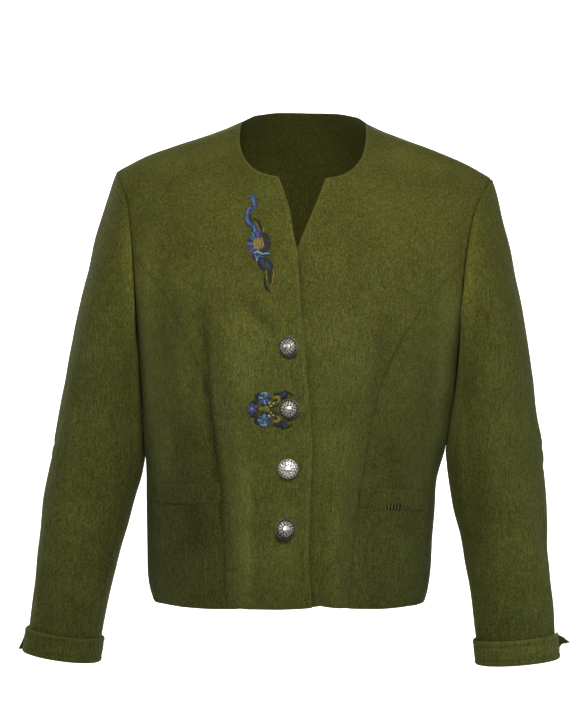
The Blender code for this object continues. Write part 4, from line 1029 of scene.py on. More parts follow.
# %% Build every panel
CLOTH = {}
LET_OUT = 0.00019  # how far a sewn panel's faces are let out at its seams
RIM_SEWN, RIM_FREE = 0.00023, 0.00035  # and how far the middle of its edge, sewn or free
INNER_ROLL = 0.55  # how much of its half thickness the inner face loses at an edge


def make_panel(name):
    """One finished panel of loden."""
    outer, inner, distances = GRIDS[name]
    move = crease_move((outer + inner) / 2, name) + trim((outer + inner) / 2, name)
    outer, inner = outer + move, inner + move
    core, half = (outer + inner) / 2, (outer - inner) / 2
    share, deep, worn = outer_share(name, distances, outer)
    sewn = name.endswith(("front", "sleeve")) or name == "back"
    core_out = let_out(core, LET_OUT if sewn else 0.0)
    new_outer = core_out + half * share[..., None]
    nearest_edge = np.minimum.reduce(list(distances.values()))
    new_inner = core_out - half * (1 - INNER_ROLL * np.exp(-((nearest_edge / 0.0009) ** 1.2)))[..., None]
    rounded = let_out(core, RIM_SEWN if sewn else RIM_FREE)
    _, ring = ring_of(outer)
    painted_light_and_shade = painted_light_and_shade_of(outer, name)
    # what is painted on the outer face, on the inner face and round the edge; inside and deep paint shade
    values = {
        "inside": (0.0, 1.0, 0.4),
        "worn": (worn, 0.0, 0.5),
        "deep": (deep, 0.0, 0.6 if sewn else 0.0),
        "painted_light_and_shade": (painted_light_and_shade, 0.0, painted_light_and_shade.reshape(-1)[ring]),
    }
    mesh = panel_mesh(name + "_cloth", new_outer, rounded.reshape(-1, 3)[ring], new_inner, values)
    piece = put_in_scene(name + "_cloth", mesh)
    mesh.materials.append(LODEN)
    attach(piece, "root")
    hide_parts(name, *([name.replace("upper_sleeve", "sleeve_head")] if "upper_sleeve" in name else []))
    CLOTH[name] = {"piece": piece, "outer": new_outer, "inner": new_inner}


for panel_name in PANELS:
    make_panel(panel_name)
print("panels:", len(CLOTH), "faces:", sum(len(c["piece"].data.polygons) for c in CLOTH.values()))

# %% [markdown]
# ## Stitches
# A stitch comes up out of the cloth, lies on it for a few millimetres, and goes down again. The
# real jacket has about a thousand along its edges, and the embroidery has as many again, so they
# are not made one by one. Geometry Nodes lays one short thread again and again along a line:
# the line is cut at even steps, and at each step the thread is stood upright on the cloth, turned
# along the line, and set to its size. The tree's inputs name those sizes.
#
# For topstitching the thread lies along the line. For satin stitch it lies across it, and is as
# long as the leaf or petal is wide there, which each point of the line carries as its span.


# %% A node tree that lays stitches
def stitch_tree():
    """A tree that lays a thread at even steps along every line of a mesh."""
    tree = bpy.data.node_groups.new("laid stitches", "GeometryNodeTree")
    tree.interface.new_socket("Lines", in_out="INPUT", socket_type="NodeSocketGeometry")
    for name in ("Pitch", "Length", "Width", "Height", "Turn", "Jitter"):
        tree.interface.new_socket(name, in_out="INPUT", socket_type="NodeSocketFloat")
    tree.interface.new_socket("Seed", in_out="INPUT", socket_type="NodeSocketInt")
    tree.interface.new_socket("Thread", in_out="INPUT", socket_type="NodeSocketMaterial")
    tree.interface.new_socket("Stitches", in_out="OUTPUT", socket_type="NodeSocketGeometry")
    given = add_node(tree, "NodeGroupInput").outputs

    # one thread, a unit long and thick, whose ends dive into the cloth
    line = add_node(tree, "GeometryNodeCurvePrimitiveLine", {"Start": (-0.5, 0, 0), "End": (0.5, 0, 0)})
    line = add_node(tree, "GeometryNodeResampleCurve", {"Curve": line.outputs[0], "Count": 6})
    place = add_node(tree, "GeometryNodeInputPosition").outputs[0]
    dive = add_node(tree, "ShaderNodeSeparateXYZ", [place]).outputs["X"]
    for operation, number in (("ABSOLUTE", 0.0), ("MULTIPLY", 2.0), ("POWER", 4.0), ("MULTIPLY", -0.9)):
        dive = add_node(tree, "ShaderNodeMath", [dive, number], operation=operation).outputs[0]
    dive = add_node(tree, "ShaderNodeCombineXYZ", {"Z": dive}).outputs[0]
    line = add_node(tree, "GeometryNodeSetPosition", {"Geometry": line.outputs[0], "Offset": dive})
    ring = add_node(tree, "GeometryNodeCurvePrimitiveCircle", {"Resolution": 6, "Radius": 0.5})
    thread = {"Curve": line.outputs[0], "Profile Curve": ring.outputs["Curve"], "Fill Caps": True}
    thread = add_node(tree, "GeometryNodeCurveToMesh", thread).outputs[0]

    # where the stitches lie, and which way they turn
    path = add_node(tree, "GeometryNodeMeshToCurve", {"Mesh": given["Lines"]}).outputs[0]
    path = {"Curve": path, "Length": given["Pitch"]}
    path = add_node(tree, "GeometryNodeResampleCurve", path, mode="LENGTH").outputs[0]
    up = add_node(tree, "GeometryNodeInputNamedAttribute", {"Name": "up"}, data_type="FLOAT_VECTOR").outputs[0]
    span = add_node(tree, "GeometryNodeInputNamedAttribute", {"Name": "span"}, data_type="FLOAT").outputs[0]
    tangent = add_node(tree, "GeometryNodeInputTangent").outputs[0]
    turn = add_node(tree, "FunctionNodeAlignRotationToVector", {"Vector": up}, axis="Z").outputs[0]
    along = {"Rotation": turn, "Vector": tangent}
    turn = add_node(tree, "FunctionNodeAlignRotationToVector", along, axis="X", pivot_axis="Z").outputs[0]
    chance = add_node(tree, "FunctionNodeRandomValue", {2: -1.0, 3: 1.0, "Seed": given["Seed"]}).outputs[1]
    spin = [chance, given["Jitter"], given["Turn"]]
    spin = add_node(tree, "ShaderNodeMath", spin, operation="MULTIPLY_ADD").outputs[0]
    spin = add_node(tree, "ShaderNodeCombineXYZ", {"Z": spin}).outputs[0]
    spun = {"Rotation": turn, "Rotate By": spin}
    turn = add_node(tree, "FunctionNodeRotateRotation", spun, rotation_space="LOCAL").outputs[0]
    uneven = add_node(tree, "ShaderNodeMath", [chance, 0.05, 1.0], operation="MULTIPLY_ADD").outputs[0]
    reach = add_node(tree, "ShaderNodeMath", [span, given["Length"]], operation="MULTIPLY").outputs[0]
    reach = add_node(tree, "ShaderNodeMath", [reach, uneven], operation="MULTIPLY").outputs[0]
    size = add_node(tree, "ShaderNodeCombineXYZ", {"X": reach, "Y": given["Width"], "Z": given["Height"]}).outputs[0]
    laid = {"Points": path, "Instance": thread, "Rotation": turn, "Scale": size}
    laid = add_node(tree, "GeometryNodeInstanceOnPoints", laid).outputs[0]
    tone = add_node(tree, "FunctionNodeRandomValue", {2: 0.0, 3: 1.0, "Seed": 7}).outputs[1]
    toned = {"Geometry": laid, "Name": "tone", "Value": tone}
    laid = add_node(tree, "GeometryNodeStoreNamedAttribute", toned, data_type="FLOAT", domain="INSTANCE").outputs[0]
    laid = add_node(tree, "GeometryNodeRealizeInstances", {"Geometry": laid}).outputs[0]
    laid = add_node(tree, "GeometryNodeSetMaterial", {"Geometry": laid, "Material": given["Thread"]}).outputs[0]
    add_node(tree, "NodeGroupOutput", {"Stitches": laid})
    return tree


STITCHES = stitch_tree()
print("stitch tree, nodes:", len(STITCHES.nodes))


# %% Lay stitches with it
def lay_stitches(name, lines, thread, sizes):
    """Lays stitches along lines of points, directions away from the cloth, and spans, as a plain mesh."""
    mesh = bpy.data.meshes.new(name + "_lines")
    points, ups, spans, edges = [], [], [], []
    for line, up, span in lines:
        edges += [(len(points) + i, len(points) + i + 1) for i in range(len(line) - 1)]
        points += [tuple(p) for p in line]
        ups += [tuple(u) for u in up]
        spans += [float(s) for s in span]
    mesh.from_pydata(points, edges, [])
    mesh.attributes.new("up", "FLOAT_VECTOR", "POINT").data.foreach_set("vector", np.array(ups, np.float32).ravel())
    mesh.attributes.new("span", "FLOAT", "POINT").data.foreach_set("value", np.array(spans, np.float32))
    holder = put_in_scene(name + "_lines", mesh)
    modifier = holder.modifiers.new("stitches", "NODES")
    modifier.node_group = STITCHES
    for item in STITCHES.interface.items_tree:
        if item.in_out == "INPUT" and item.name in sizes:
            modifier[item.identifier] = sizes[item.name]
        if item.in_out == "INPUT" and item.name == "Thread":
            modifier[item.identifier] = thread
    graph = bpy.context.evaluated_depsgraph_get()
    plain = bpy.data.meshes.new_from_object(holder.evaluated_get(graph))
    bpy.data.objects.remove(holder)
    plain.name = name
    for key in ("up", "span"):
        if key in plain.attributes:
            plain.attributes.remove(plain.attributes[key])
    plain.polygons.foreach_set("use_smooth", [True] * len(plain.polygons))
    piece = put_in_scene(name, plain)
    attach(piece, "root")
    print(name, "faces:", len(plain.polygons))
    return piece


# %% [markdown]
# ## Threads
# Sewing thread is spun polyester: matt, with a faint light line along its top. Embroidery thread
# is rayon or mercerised cotton, whose fibres lie so straight that it gleams like silk. So the
# embroidery gets a lower roughness and a little sheen, and each stitch its own tone, because a
# thread takes dye unevenly and every stitch tilts another way.


# %% Thread materials
def make_thread(name, code, gleam=0.0):
    """Spun thread in one colour. A gleam above 0 makes it silky, and one below 0 duller."""
    material, tree = new_material(name)
    where = add_node(tree, "ShaderNodeTexCoord").outputs["Object"]
    stitch = add_node(tree, "ShaderNodeAttribute", attribute_name="tone").outputs["Fac"]
    tones = []
    for part in (stitch, grains(tree, where, 0.35, detail=1.0)):
        tones.append(add_node(tree, "ShaderNodeMath", [part, 0.5, 0.75], operation="MULTIPLY_ADD").outputs[0])
    tone = add_node(tree, "ShaderNodeMath", tones, operation="MULTIPLY").outputs[0]
    shade = add_node(tree, "ShaderNodeCombineColor", [tone, tone, tone]).outputs[0]
    both = {0: 1.0, 6: linear(code), 7: shade}
    yarn = {
        "Base Color": add_node(tree, "ShaderNodeMix", both, data_type="RGBA", blend_type="MULTIPLY").outputs[2],
        "Roughness": 0.8 - 0.42 * gleam,
        "Specular IOR Level": 0.3 + 0.35 * gleam,
        "Sheen Weight": 0.1,
    }
    shader = add_node(tree, "ShaderNodeBsdfPrincipled", yarn)
    add_node(tree, "ShaderNodeOutputMaterial", {"Surface": shader.outputs[0]})
    return material


SEWING = make_thread("spun polyester sewing thread, olive", "4c4d24")
EXTRAS = {name: [] for name in CLOTH}  # what is sewn on each panel

# %% [markdown]
# ## Topstitching
# A row of stitches 6 mm in holds each turned edge flat: up both fronts, round the neck and along
# the cuffs. On the welts it runs 2 mm in. The finer grids have a line of points exactly there, so
# the stitches follow it. They are 2.6 mm long, with a gap of 0.6 mm between them.


# %% Lay the topstitching
def grid_line(name, row=None, column=None, keep=None, lift=0.00012):
    """A line of a panel's finer grid, ready for stitches, or the part of it where keep holds."""
    outer, inner = CLOTH[name]["outer"], CLOTH[name]["inner"]
    line = outer[row] if column is None else outer[:, column]
    away = line - (inner[row] if column is None else inner[:, column])
    away = away / np.linalg.norm(away, axis=1, keepdims=True)
    chosen = np.ones(len(line), bool) if keep is None else np.array([keep(p) for p in line])
    line, away = line[chosen], away[chosen]
    return line + away * lift, away, np.ones(len(line))


TOPSTITCH = {
    "Pitch": 0.0032,
    "Length": 0.0026,
    "Width": 0.00042,
    "Height": 0.0004,
    "Turn": 0.0,
    "Jitter": 0.05,
    "Seed": 4,
}
LEFT_STITCHED_TO = -0.172  # the left front is stitched down to here, and the right one covers the rest
NECK_STITCHED = 0.073  # the back's neckline is stitched this far to each side
last = -1 - STITCH_LINE
topstitched = {
    "right_front": [grid_line("right_front", column=STITCH_LINE)],
    "left_front": [grid_line("left_front", column=STITCH_LINE, keep=lambda p: p[2] > LEFT_STITCHED_TO)],
    "back": [grid_line("back", row=last, keep=lambda p: abs(p[0]) < NECK_STITCHED)],
}
for side in ("right", "left"):
    cuff, welt = side + "_cuff", side + "_pocket_welt"
    topstitched[cuff] = [grid_line(cuff, row=r) for r in (STITCH_LINE, last)]
    columns = [grid_line(welt, column=c) for c in (WELT_LINE, -1 - WELT_LINE)]
    topstitched[welt] = [grid_line(welt, row=-1 - WELT_LINE), *columns]
for name, lines in topstitched.items():
    EXTRAS[name].append(lay_stitches(name + "_topstitching", lines, SEWING, TOPSTITCH))

# %% [markdown]
# ## The bar tack
# The end of a pocket pulls hard, so it is held by a bar tack: a few stitches close beside each
# other. This one lies at the foot of the left welt, dark, with pale stitches between the dark
# ones. It is laid on the finished cloth, whose places are found along the line of sight.

# %% Find places on the cloth, and lay the bar tack
PANEL_TREES = {}


def on_panel(name, x, z, lift=0.0002):
    """The place on a panel that is seen at (x, z) from the front, and the way out of the cloth there."""
    if name not in PANEL_TREES:
        mesh = CLOTH[name]["piece"].data
        faces = [tuple(p.vertices) for p in mesh.polygons]
        PANEL_TREES[name] = BVHTree.FromPolygons([v.co.copy() for v in mesh.vertices], faces)
    hit, normal, _, _ = PANEL_TREES[name].ray_cast(Vector((x, -0.4, z)), Vector((0, 1, 0)))
    if hit is None:
        raise ValueError(f"{name} isn't at {x:.4f}, {z:.4f}")
    normal = normal if normal.y < 0 else -normal
    return hit + normal * lift, normal


TACK_Z, TACK_PITCH, TACK_FROM, TACK_TO = -0.4478, 0.0034, 0.1104, 0.1246
TACK = {"Pitch": TACK_PITCH, "Length": 1.0, "Height": 0.0006, "Turn": math.pi / 2, "Jitter": 0.06, "Seed": 2}
TACKS = (  # name, thread, how far in from the ends in pitches, width and length of a stitch
    ("pocket_bar_tack", make_thread("buttonhole twist, dark brown", "0c0805", -0.3), 0.0, 0.0020, 0.0054),
    ("pocket_bar_tack_pale", make_thread("buttonhole twist, fawn", "82795c"), 0.5, 0.0010, 0.0040),
)
for name, thread, inset, width, length in TACKS:
    xs = np.linspace(TACK_FROM + inset * TACK_PITCH, TACK_TO - inset * TACK_PITCH, 9)
    found = [on_panel("left_pocket_welt", x, TACK_Z) for x in xs]
    sizes = {**TACK, "Width": width}
    spans = np.interp(xs, (TACK_FROM, TACK_TO), (0.6 * length, length))
    tack = lay_stitches(name, [([p for p, _ in found], [n for _, n in found], spans)], thread, sizes)
    EXTRAS["left_pocket_welt"].append(tack)

# %% [markdown]
# ## Embroidery
# Folk embroidery builds its flowers from satin stitch: threads laid side by side across a petal,
# from one outline to the other, so each petal gleams in its own direction. Only the wearer's
# right front has it: a tall spray below the collarbone and a small posy beside the second button.
#
# Every petal and leaf is a row in a table: its colour, the middle line it is sewn along, seen
# from the front in millimetres, and how wide it is at each place. The line is smoothed, dropped
# on to the cloth, and given to the same stitch tree, with the threads turned across it.


# %% Embroidery helpers
def smoothed(points, step=0.0007):
    """A smooth curve through a few points, as many close ones, with what else each point carries."""
    points = np.array(points, float)
    ends = np.concatenate([2 * points[:1] - points[1:2], points, 2 * points[-1:] - points[-2:-1]])
    out = []
    for a, b, c, d in zip(ends, ends[1:], ends[2:], ends[3:]):
        count = max(2, math.ceil(np.linalg.norm((c - b)[:2]) / step))
        bend, twist = 2 * a - 5 * b + 4 * c - d, 3 * b - a - 3 * c + d
        for t in np.arange(count) / count:
            out.append(0.5 * (2 * b + (c - a) * t + bend * t * t + twist * t**3))
    return np.array([*out, points[-1]])


def sewn(path, widths, lift=0.00025):
    """A petal, leaf or tendril, from its middle line in mm and its widths in mm."""
    keys = np.linspace(0, 1, len(widths))
    at = np.interp(np.linspace(0, 1, len(path)), keys, widths)
    curve = smoothed([(x / 1000, z / 1000, w / 1000) for (x, z), w in zip(path, at)])
    places = [on_panel("right_front", x, z, lift) for x, z, _ in curve]
    return [p for p, _ in places], [n for _, n in places], np.maximum(curve[:, 2], 0.0003)


def petals(colours, centre, reach, start, width, inner=0.2, turn=360.0, flat=1.0):
    """Table rows for petals round a centre, one for each colour, sewn from near the centre outwards."""
    rows = []
    for i, colour in enumerate(colours):
        angle = math.radians(start + turn * i / len(colours))
        ray = (math.cos(angle), math.sin(angle) * flat)
        path = [(centre[0] + ray[0] * reach * s, centre[1] + ray[1] * reach * s) for s in (inner, 0.45, 0.75, 1.0)]
        rows.append((colour, path, (width * 0.5, width * 0.95, width, width * 0.35)))
    return rows


# %% Embroidery threads
# colour: the dye's name, its code, and how much the thread gleams
DYES = {
    "royal": ("royal blue", "3460a6", 0.8),
    "sky": ("light blue", "7fa6c8", 0.8),
    "violet": ("violet", "5650ae", 0.8),
    "navy": ("navy", "0b1024", 0.5),
    "gold": ("old gold", "8e7829", 0.8),
    "green": ("leaf green", "667d30", 0.8),
    "ivory": ("ivory", "c4b69c", 0.8),
    "dark": ("dark olive", "0d0e06", 0.4),
}
SILKS = {
    colour: make_thread(f"rayon embroidery thread, {dye}", code, gleam) for colour, (dye, code, gleam) in DYES.items()
}
SATIN = {"Pitch": 0.00044, "Length": 1.0, "Width": 0.0005, "Height": 0.00055, "Turn": math.pi / 2, "Jitter": 0.12}
print("threads:", len(SILKS))

# %% The spray
# colour, middle line, widths; all in mm, x from the centre and z from the shoulders
SPRAY = [
    (
        "royal",
        ((-56.5, -98.6), (-52.4, -97.6), (-49.0, -101.5), (-48.2, -107.5), (-48.6, -113.5)),
        (1.2, 2.6, 3.6, 3.4, 1.2),
    ),
    ("sky", ((-52.2, -100.0), (-50.2, -103.6), (-49.8, -108.5)), (0.7, 1.3, 0.7)),
    ("violet", ((-50.2, -113.5), (-54.0, -110.8), (-55.8, -114.5), (-56.2, -120.6)), (1.2, 2.8, 3.4, 2.8)),
    ("sky", ((-54.6, -112.2), (-57.2, -115.6), (-57.4, -120.0)), (0.5, 0.9, 0.5)),
    ("royal", ((-56.0, -118.5), (-56.4, -124.0), (-54.0, -128.4), (-50.8, -132.4)), (2.8, 3.8, 3.6, 2.0)),
    ("sky", ((-57.6, -121.0), (-56.6, -126.4), (-53.0, -130.4)), (0.5, 1.0, 0.5)),
    ("dark", ((-53.0, -118.8), (-52.6, -124.2), (-49.6, -128.0)), (0.8, 1.8, 0.8)),
    ("royal", ((-51.0, -129.0), (-47.6, -133.8), (-46.2, -139.4), (-48.2, -143.0)), (1.6, 3.6, 4.6, 2.4)),
    ("sky", ((-49.4, -132.2), (-47.2, -136.2), (-47.0, -140.4)), (0.6, 1.2, 0.6)),
    (
        "dark",
        ((-50.4, -123.6), (-46.8, -124.6), (-43.4, -128.4), (-41.6, -133.4), (-38.4, -138.0)),
        (0.9, 1.5, 1.6, 1.3, 0.7),
    ),
    ("gold", ((-45.6, -128.6), (-43.2, -132.8), (-41.4, -136.8), (-41.6, -140.6)), (0.5, 0.9, 0.9, 0.5)),
    ("dark", ((-42.6, -124.0), (-41.8, -129.0), (-38.8, -133.2)), (0.6, 1.1, 0.6)),
    ("gold", ((-37.8, -132.6), (-36.8, -138.0), (-37.8, -143.0)), (0.5, 0.8, 0.5)),
    ("navy", ((-36.5, -141.0), (-33.2, -143.4), (-31.2, -147.6)), (1.6, 3.0, 1.8)),
]
SPRAY_FLOWER = (-41.2, -152.4)
SPRAY_PETALS = ("dark", "violet", "royal", "royal", "violet", "sky", "navy", "dark", "navy")
SPRAY += petals(SPRAY_PETALS, SPRAY_FLOWER, 13.2, 62, 7.4, inner=0.42, flat=1.08)
SPRAY += petals(("sky", "navy", "sky", "violet"), SPRAY_FLOWER, 14.2, 128, 1.9, inner=0.55, turn=150, flat=1.1)
SPRAY += petals(("navy",) * 9, SPRAY_FLOWER, 13.4, 82, 1.3, inner=0.5, flat=1.08)
SPRAY += [
    ("gold", ((-47.0, -154.0), (-41.6, -152.8), (-36.0, -151.6)), (7.6, 8.2, 7.6)),
    ("dark", ((-44.6, -151.2), (-44.0, -153.4), (-44.4, -155.8)), (0.7, 1.3, 0.7)),
    ("dark", ((-41.4, -150.4), (-41.8, -153.0), (-41.2, -155.4)), (0.7, 1.4, 0.7)),
    ("dark", ((-38.4, -149.8), (-38.2, -152.4), (-38.8, -154.8)), (0.7, 1.2, 0.7)),
    (
        "sky",
        ((-46.8, -163.2), (-42.0, -162.0), (-37.0, -164.2), (-31.0, -163.4), (-27.6, -164.8)),
        (1.5, 3.4, 2.6, 2.2, 0.8),
    ),
    ("royal", ((-45.6, -165.4), (-43.2, -169.2), (-40.4, -166.8), (-35.2, -167.6)), (2.6, 3.8, 2.8, 1.2)),
    ("sky", ((-42.6, -172.6), (-42.8, -168.6), (-39.6, -166.4)), (0.8, 1.3, 0.7)),
    ("navy", ((-40.4, -169.6), (-38.4, -174.2), (-35.6, -178.6), (-34.6, -183.4)), (1.8, 4.0, 3.6, 1.2)),
    ("violet", ((-37.6, -170.4), (-35.6, -175.0), (-33.2, -179.6)), (0.8, 1.5, 0.8)),
    (
        "navy",
        ((-34.4, -168.4), (-30.4, -171.6), (-27.4, -176.4), (-25.8, -183.0), (-25.4, -188.4)),
        (1.2, 2.8, 3.4, 3.0, 1.0),
    ),
    ("royal", ((-31.2, -173.6), (-28.8, -178.0), (-27.6, -183.0)), (0.6, 1.2, 0.6)),
    ("dark", ((-29.4, -180.0), (-27.2, -186.4), (-26.6, -193.4), (-27.8, -197.4)), (1.4, 2.4, 1.9, 0.7)),
    ("gold", ((-24.2, -180.6), (-23.2, -186.2), (-24.4, -191.6), (-23.8, -196.6)), (0.5, 0.9, 0.9, 0.5)),
    ("dark", ((-31.2, -186.4), (-33.0, -192.6), (-32.0, -198.6), (-28.4, -204.2)), (0.7, 1.3, 1.2, 0.7)),
    ("gold", ((-30.8, -184.0), (-31.4, -189.0), (-30.4, -193.6)), (0.5, 0.8, 0.5)),
    ("dark", ((-32.6, -197.2), (-31.0, -202.0), (-25.6, -207.4)), (0.5, 1.0, 0.6)),
]

print("spray, shapes:", len(SPRAY))

# %% The posy, the same above and below its middle line
POSY_Z = -338.6
POSY_FLOWER, POSY_BUD = (-29.4, 12.2), (-42.6, POSY_Z)
POSY_HALF = petals(("royal", "sky", "royal", "sky", "royal", "sky", "royal"), POSY_FLOWER, 7.2, 20, 5.0, inner=0.25)
POSY_HALF += petals(("navy",) * 7, POSY_FLOWER, 7.4, 46, 1.1, inner=0.45)
POSY_HALF += [
    ("navy", ((-37.4, 9.0), (-38.0, 13.6), (-35.4, 18.0)), (1.6, 3.2, 1.4)),
    ("sky", ((-33.4, 16.8), (-29.6, 18.2), (-25.2, 16.6)), (0.7, 1.3, 0.7)),
    ("navy", ((-24.0, 5.4), (-28.6, 4.2), (-33.4, 5.0)), (0.9, 2.0, 0.9)),
    ("navy", ((-43.6, 8.4), (-40.2, 7.4), (-37.8, 9.2)), (1.2, 3.0, 1.4)),
    ("ivory", ((-24.4, 6.4), (-22.6, 8.4)), (1.3, 1.1)),
    ("ivory", ((-22.6, 2.8), (-20.8, 4.2)), (1.2, 1.0)),
    ("ivory", ((-19.6, 6.2), (-18.2, 7.4)), (1.1, 0.9)),
    ("gold", ((-18.8, 11.8), (-16.4, 13.8), (-13.2, 12.8), (-12.4, 9.8), (-14.8, 7.8)), (1.0, 1.8, 2.2, 1.9, 0.9)),
    ("dark", ((-19.2, 8.6), (-16.4, 10.6), (-14.4, 10.2)), (0.6, 1.2, 0.7)),
    ("dark", ((-24.0, 2.0), (-18.0, 3.0), (-13.6, 5.6)), (0.6, 1.1, 0.6)),
    ("navy", ((-19.4, 16.6), (-14.6, 17.4), (-9.2, 19.2)), (1.0, 1.9, 1.0)),
    ("navy", ((-10.4, 12.6), (-7.4, 16.2), (-6.4, 21.4)), (1.8, 5.4, 2.0)),
    ("violet", ((-8.8, 14.6), (-6.8, 17.0), (-6.4, 19.6)), (0.7, 1.4, 0.6)),
    ("dark", ((-6.0, 19.8), (-1.6, 19.0), (2.6, 16.4)), (0.5, 1.0, 0.6)),
]
POSY = []
for side in (1, -1):
    for colour, path, widths in POSY_HALF:
        POSY.append((colour, tuple((x, POSY_Z + side * z) for x, z in path), widths))
POSY += petals(("violet", "royal") * 3, POSY_BUD, 5.8, 30, 4.2)
POSY += [
    ("ivory", ((-43.8, POSY_Z + 0.4), (-41.6, POSY_Z - 0.4)), (1.4, 1.4)),
    ("green", ((-28.6, POSY_Z - 2.6), (-24.6, POSY_Z + 2.4)), (3.2, 2.2)),
    ("green", ((-28.8, POSY_Z + 2.4), (-24.4, POSY_Z - 2.2)), (3.0, 2.0)),
    ("gold", ((-34.6, POSY_Z + 0.2), (-30.4, POSY_Z)), (1.6, 2.6)),
]
print("posy, shapes:", len(POSY))

# %% Sew the embroidery, one piece for each colour of thread
OUTLINE = 1.0  # how much wider, in mm, the navy under a petal is than the petal; its navy edge also paints the shade between petals
SEWN_LIFT, SEWN_STEP = 0.0002, 0.00002  # how high the first shape lies on the cloth, and each one over it


def outlined(shapes):
    """The same shapes, each light or blue one laid over a navy one that is a little wider, whose navy edge also paints
    the shade in the gaps between petals.
    """
    out = []
    for colour, path, widths in shapes:
        if colour in ("royal", "sky", "violet") and max(widths) > 1.4:
            out.append(("navy", path, tuple(w + OUTLINE for w in widths)))
        out.append((colour, path, widths))
    return out


def sew(name, shapes):
    """Sews a motif on the right front, the colours in the order that the tables give."""
    shapes = outlined(shapes)
    for number, colour in enumerate(dict.fromkeys(shape[0] for shape in shapes)):
        chosen = [(i, path, widths) for i, (c, path, widths) in enumerate(shapes) if c == colour]
        lines = [sewn(path, widths, lift=SEWN_LIFT + SEWN_STEP * i) for i, path, widths in chosen]
        stitches = lay_stitches(f"{name}_{colour}", lines, SILKS[colour], {**SATIN, "Seed": 20 + number})
        EXTRAS["right_front"].append(stitches)


sew("spray", SPRAY)
sew("posy", POSY)

# %% [markdown]
# ## Buttons
# Each button is stamped from thin brass, silvered, and then darkened so that the hollows of its
# pattern stay black while the raised parts are rubbed bright. It is a dome with a plain polished
# boss in the middle, three rings of small round hollows about it, and a beaded rim, and it stands
# on a short shank. Hung on thread, the buttons tilt, each in its own way.
#
# Such a shape follows a rule round one axis, so its surface is a disc of rings and spokes whose
# height is worked out at each point. The same rule tells the finish how deep in a hollow each
# point lies.


# %% The button's surface
# the side of a button from the shank's foot to the dome's top: radius and height above the cloth, in mm
BUTTON_SIDE = ((0.0, 0.4), (3.0, 0.4), (3.0, 1.9), (10.2, 1.9), (11.1, 2.15), (11.5, 2.6), (11.4, 3.1), (11.1, 3.45))
DOME = ((11.1, 3.45), (10.7, 3.85), (9.6, 4.85), (8.5, 5.55), (6.8, 6.35), (5.2, 6.82), (3.0, 7.15), (0.0, 7.3))
# each ring of hollows: radius, how many, half-length inwards, half-width round, and its turn in steps
HOLLOW_RINGS = ((5.3, 9, 0.64, 0.92, 0.0), (7.2, 13, 0.68, 0.96, 0.5), (9.3, 16, 0.74, 1.06, 0.0))
BOSS = 4.15  # radius of the plain boss in the middle, in mm
PRESSED_IN = 0.42  # how far the stamped dome lies under the plain one, in mm
BEADS = 44  # on the rim
SPOKES = 132  # of the mesh, round a button
DEGREE_LIFT = 0.12  # mm that a button stands off the cloth for each degree of its tilt


def dome_height(r):
    """The height of the plain dome at a radius, both in mm."""
    return np.interp(r, [p[0] for p in DOME[::-1]], [p[1] for p in DOME[::-1]])


def stamping(r, angle):
    """How deep the stamped hollows are, from 0 to 1, at a radius in mm and an angle."""
    depth = np.zeros_like(r + angle)
    for radius, count, inwards, round_it, shift in HOLLOW_RINGS:
        step = 2 * math.pi / count
        nearest_spoke = (np.round(angle / step - shift) + shift) * step
        across = (angle - nearest_spoke) * r
        depth = np.maximum(depth, np.clip(1.25 - np.hypot((r - radius) / inwards, across / round_it), 0, 1))
    return np.clip(depth * 2.2, 0, 1)


def stamped_profile(patina_and_shade, lift):
    """The rings of a button as radii and heights in mm, and how black each point of them is."""
    angle = np.arange(SPOKES) / SPOKES * 2 * math.pi
    rings, black = [], []
    for r, h in ((3.0, BUTTON_SIDE[1][1] - lift), *BUTTON_SIDE[2:]):
        rings.append(np.stack([np.full(SPOKES, r), np.full(SPOKES, h)], -1))
        black.append(np.full(SPOKES, 0.75))
    for r in np.linspace(11.1, 0.35, 44)[1:]:
        pressed = stamping(r, angle)
        boss = 0.30 * np.clip((BOSS - r) / 0.25, 0, 1) + 0.45 * np.clip(1 - (r / BOSS) ** 2, 0, 1)
        bead = 0.16 * bell(r, 10.65, 0.3) * (0.6 + 0.4 * np.cos(angle * BEADS))
        valley = 0.22 * bell(r, 4.5, 0.22) + 0.14 * bell(r, 10.2, 0.2)
        height = dome_height(r) - PRESSED_IN + boss - 0.5 * pressed + bead - valley
        rings.append(np.stack([np.full(SPOKES, r), height], -1))
        rim = 0.40 * np.clip((r - 7.0) / 3.0, 0, 1) + 0.45 * np.clip((r - 10.1) / 0.5, 0, 1)
        # outside the boss the plates are blackened by patina and by painted shade that differs from button to button
        black.append(np.clip(patina_and_shade * (r > BOSS + 0.15) + pressed + 2.6 * valley + rim, 0, 1))
    return rings, black


